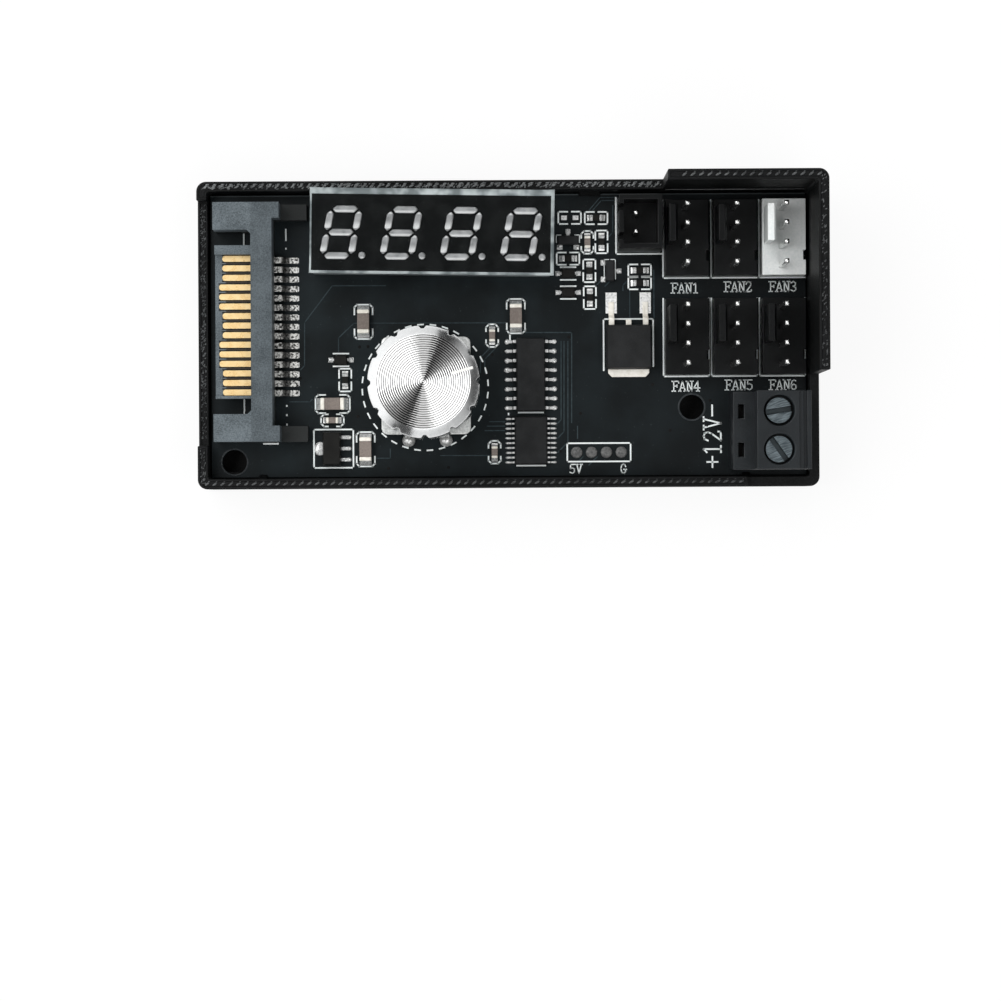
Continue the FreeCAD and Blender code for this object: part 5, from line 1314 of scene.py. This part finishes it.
# %% White sheet
SHEET_HALF = 1.5
SHEET_GLOW = 0.88
floor_bm = bmesh.new()
bmesh.ops.create_grid(floor_bm, x_segments=1, y_segments=1, size=SHEET_HALF)
floor_mesh = bpy.data.meshes.new("sheet")
floor_bm.to_mesh(floor_mesh)
floor_bm.free()
floor = show("sheet", floor_mesh)
paper = Finish("white_sheet", {"Base Color": rgb(250, 250, 250), "Roughness": 0.9})
rays = [paper.node("ShaderNodeLightPath", {}, {}, ray)
        for ray in ("Is Camera Ray", "Is Glossy Ray", "Is Transmission Ray")]
seen = sum(rays).math("MINIMUM", 1.0)
glow = paper.node("ShaderNodeEmission", {}, {"Color": (1, 1, 1, 1), "Strength": 1.0})
lit = Value(paper, paper.shader.outputs[0])
mixed = paper.node("ShaderNodeMixShader", {}, {0: seen * SHEET_GLOW, 1: lit, 2: glow})
paper.feed(paper.tree.nodes["Material Output"], {"Surface": mixed})
floor_mesh.materials.append(paper.material)
print("sheet", 2 * SHEET_HALF)

# %% Light tent
GAP_EDGE = math.radians(75)
BRIGHTEST = 1.6
SIDE_LEVEL = 0.8
SIDE_LEAN = 0.42
LOW_RIGHT_SHADE = 0.75
GAP_SHADE = 0.94
LENS_SHADE = 0.65
PANEL_LEVEL = 0.7
world = bpy.data.worlds.new("light_tent")
world.use_nodes = True
bpy.context.scene.world = world
tent = Shading(world.node_tree)
sky = tent.node("ShaderNodeTexCoord", {}, {}, "Generated")
bearing = tent.axis("Y", sky).math("ARCTAN2", tent.axis("X", sky))
phase = ((bearing - GAP_EDGE) * (1 / math.pi)).math("FRACT")
gap = tent.rise(phase, 0.78, 0.92)
up = tent.axis("Z", sky)
lens = tent.rise(up, 0.84, 0.97)
across = tent.axis("X", sky)
sides = (SIDE_LEVEL - across * SIDE_LEAN) * (1 - tent.rise(across, 0.76, 0.94) * LOW_RIGHT_SHADE)
panel = (1 - tent.rise(phase, 0.14, 0.3)) * tent.rise(up, 0.3, 0.6) * (1 - tent.rise(up, 0.94, 0.99))
level = sides * (1 - gap * GAP_SHADE) * (1 - lens * LENS_SHADE) + panel * PANEL_LEVEL
shade = tent.tint(level * (1 / BRIGHTEST), (0, 0, 0, 1), (BRIGHTEST, BRIGHTEST, BRIGHTEST, 1))
tent.feed(world.node_tree.nodes["Background"], {"Color": shade, "Strength": 1.0})
print("tent nodes", len(world.node_tree.nodes))


# %% Soft boxes
def soft_box(name, azimuth, elevation, distance, size, power):
    lamp = bpy.data.lights.new(name, "AREA")
    lamp.shape = "RECTANGLE"
    lamp.size, lamp.size_y = size
    lamp.energy = power
    made = show(name, lamp)
    turn, tilt = math.radians(azimuth), math.radians(elevation)
    flat = distance * math.cos(tilt)
    made.location = (flat * math.cos(turn), flat * math.sin(turn), distance * math.sin(tilt))
    made.rotation_euler = (-made.location).to_track_quat("-Z", "Y").to_euler()


BOX_ELEVATION = 60
BOX_DISTANCE = 0.6
BOX_SIZE = (0.5, 0.3)
soft_box("left_box", 158, BOX_ELEVATION, BOX_DISTANCE, BOX_SIZE, 1.45)
soft_box("right_box", 326, BOX_ELEVATION, BOX_DISTANCE, BOX_SIZE, 0.85)
print("lamps", len(bpy.data.lights))

# %% Camera
CAMERA_AT = (-1.195, -22.19, 406.2)
CAMERA_TURN = -0.33
FIELD = 134.36
FIELD_DISTANCE = 400
camera_data = bpy.data.cameras.new("copy_stand")
camera_data.lens_unit = "FOV"
camera_data.angle = 2 * math.atan(FIELD / 2 / FIELD_DISTANCE)
camera_data.clip_start = 0.01
camera = show("copy_stand", camera_data)
camera.location = [c * MM for c in CAMERA_AT]
camera.rotation_euler = (0, 0, math.radians(CAMERA_TURN))
bpy.context.scene.camera = camera
bpy.context.scene.view_settings.view_transform = "Standard"
print("camera", CAMERA_AT)
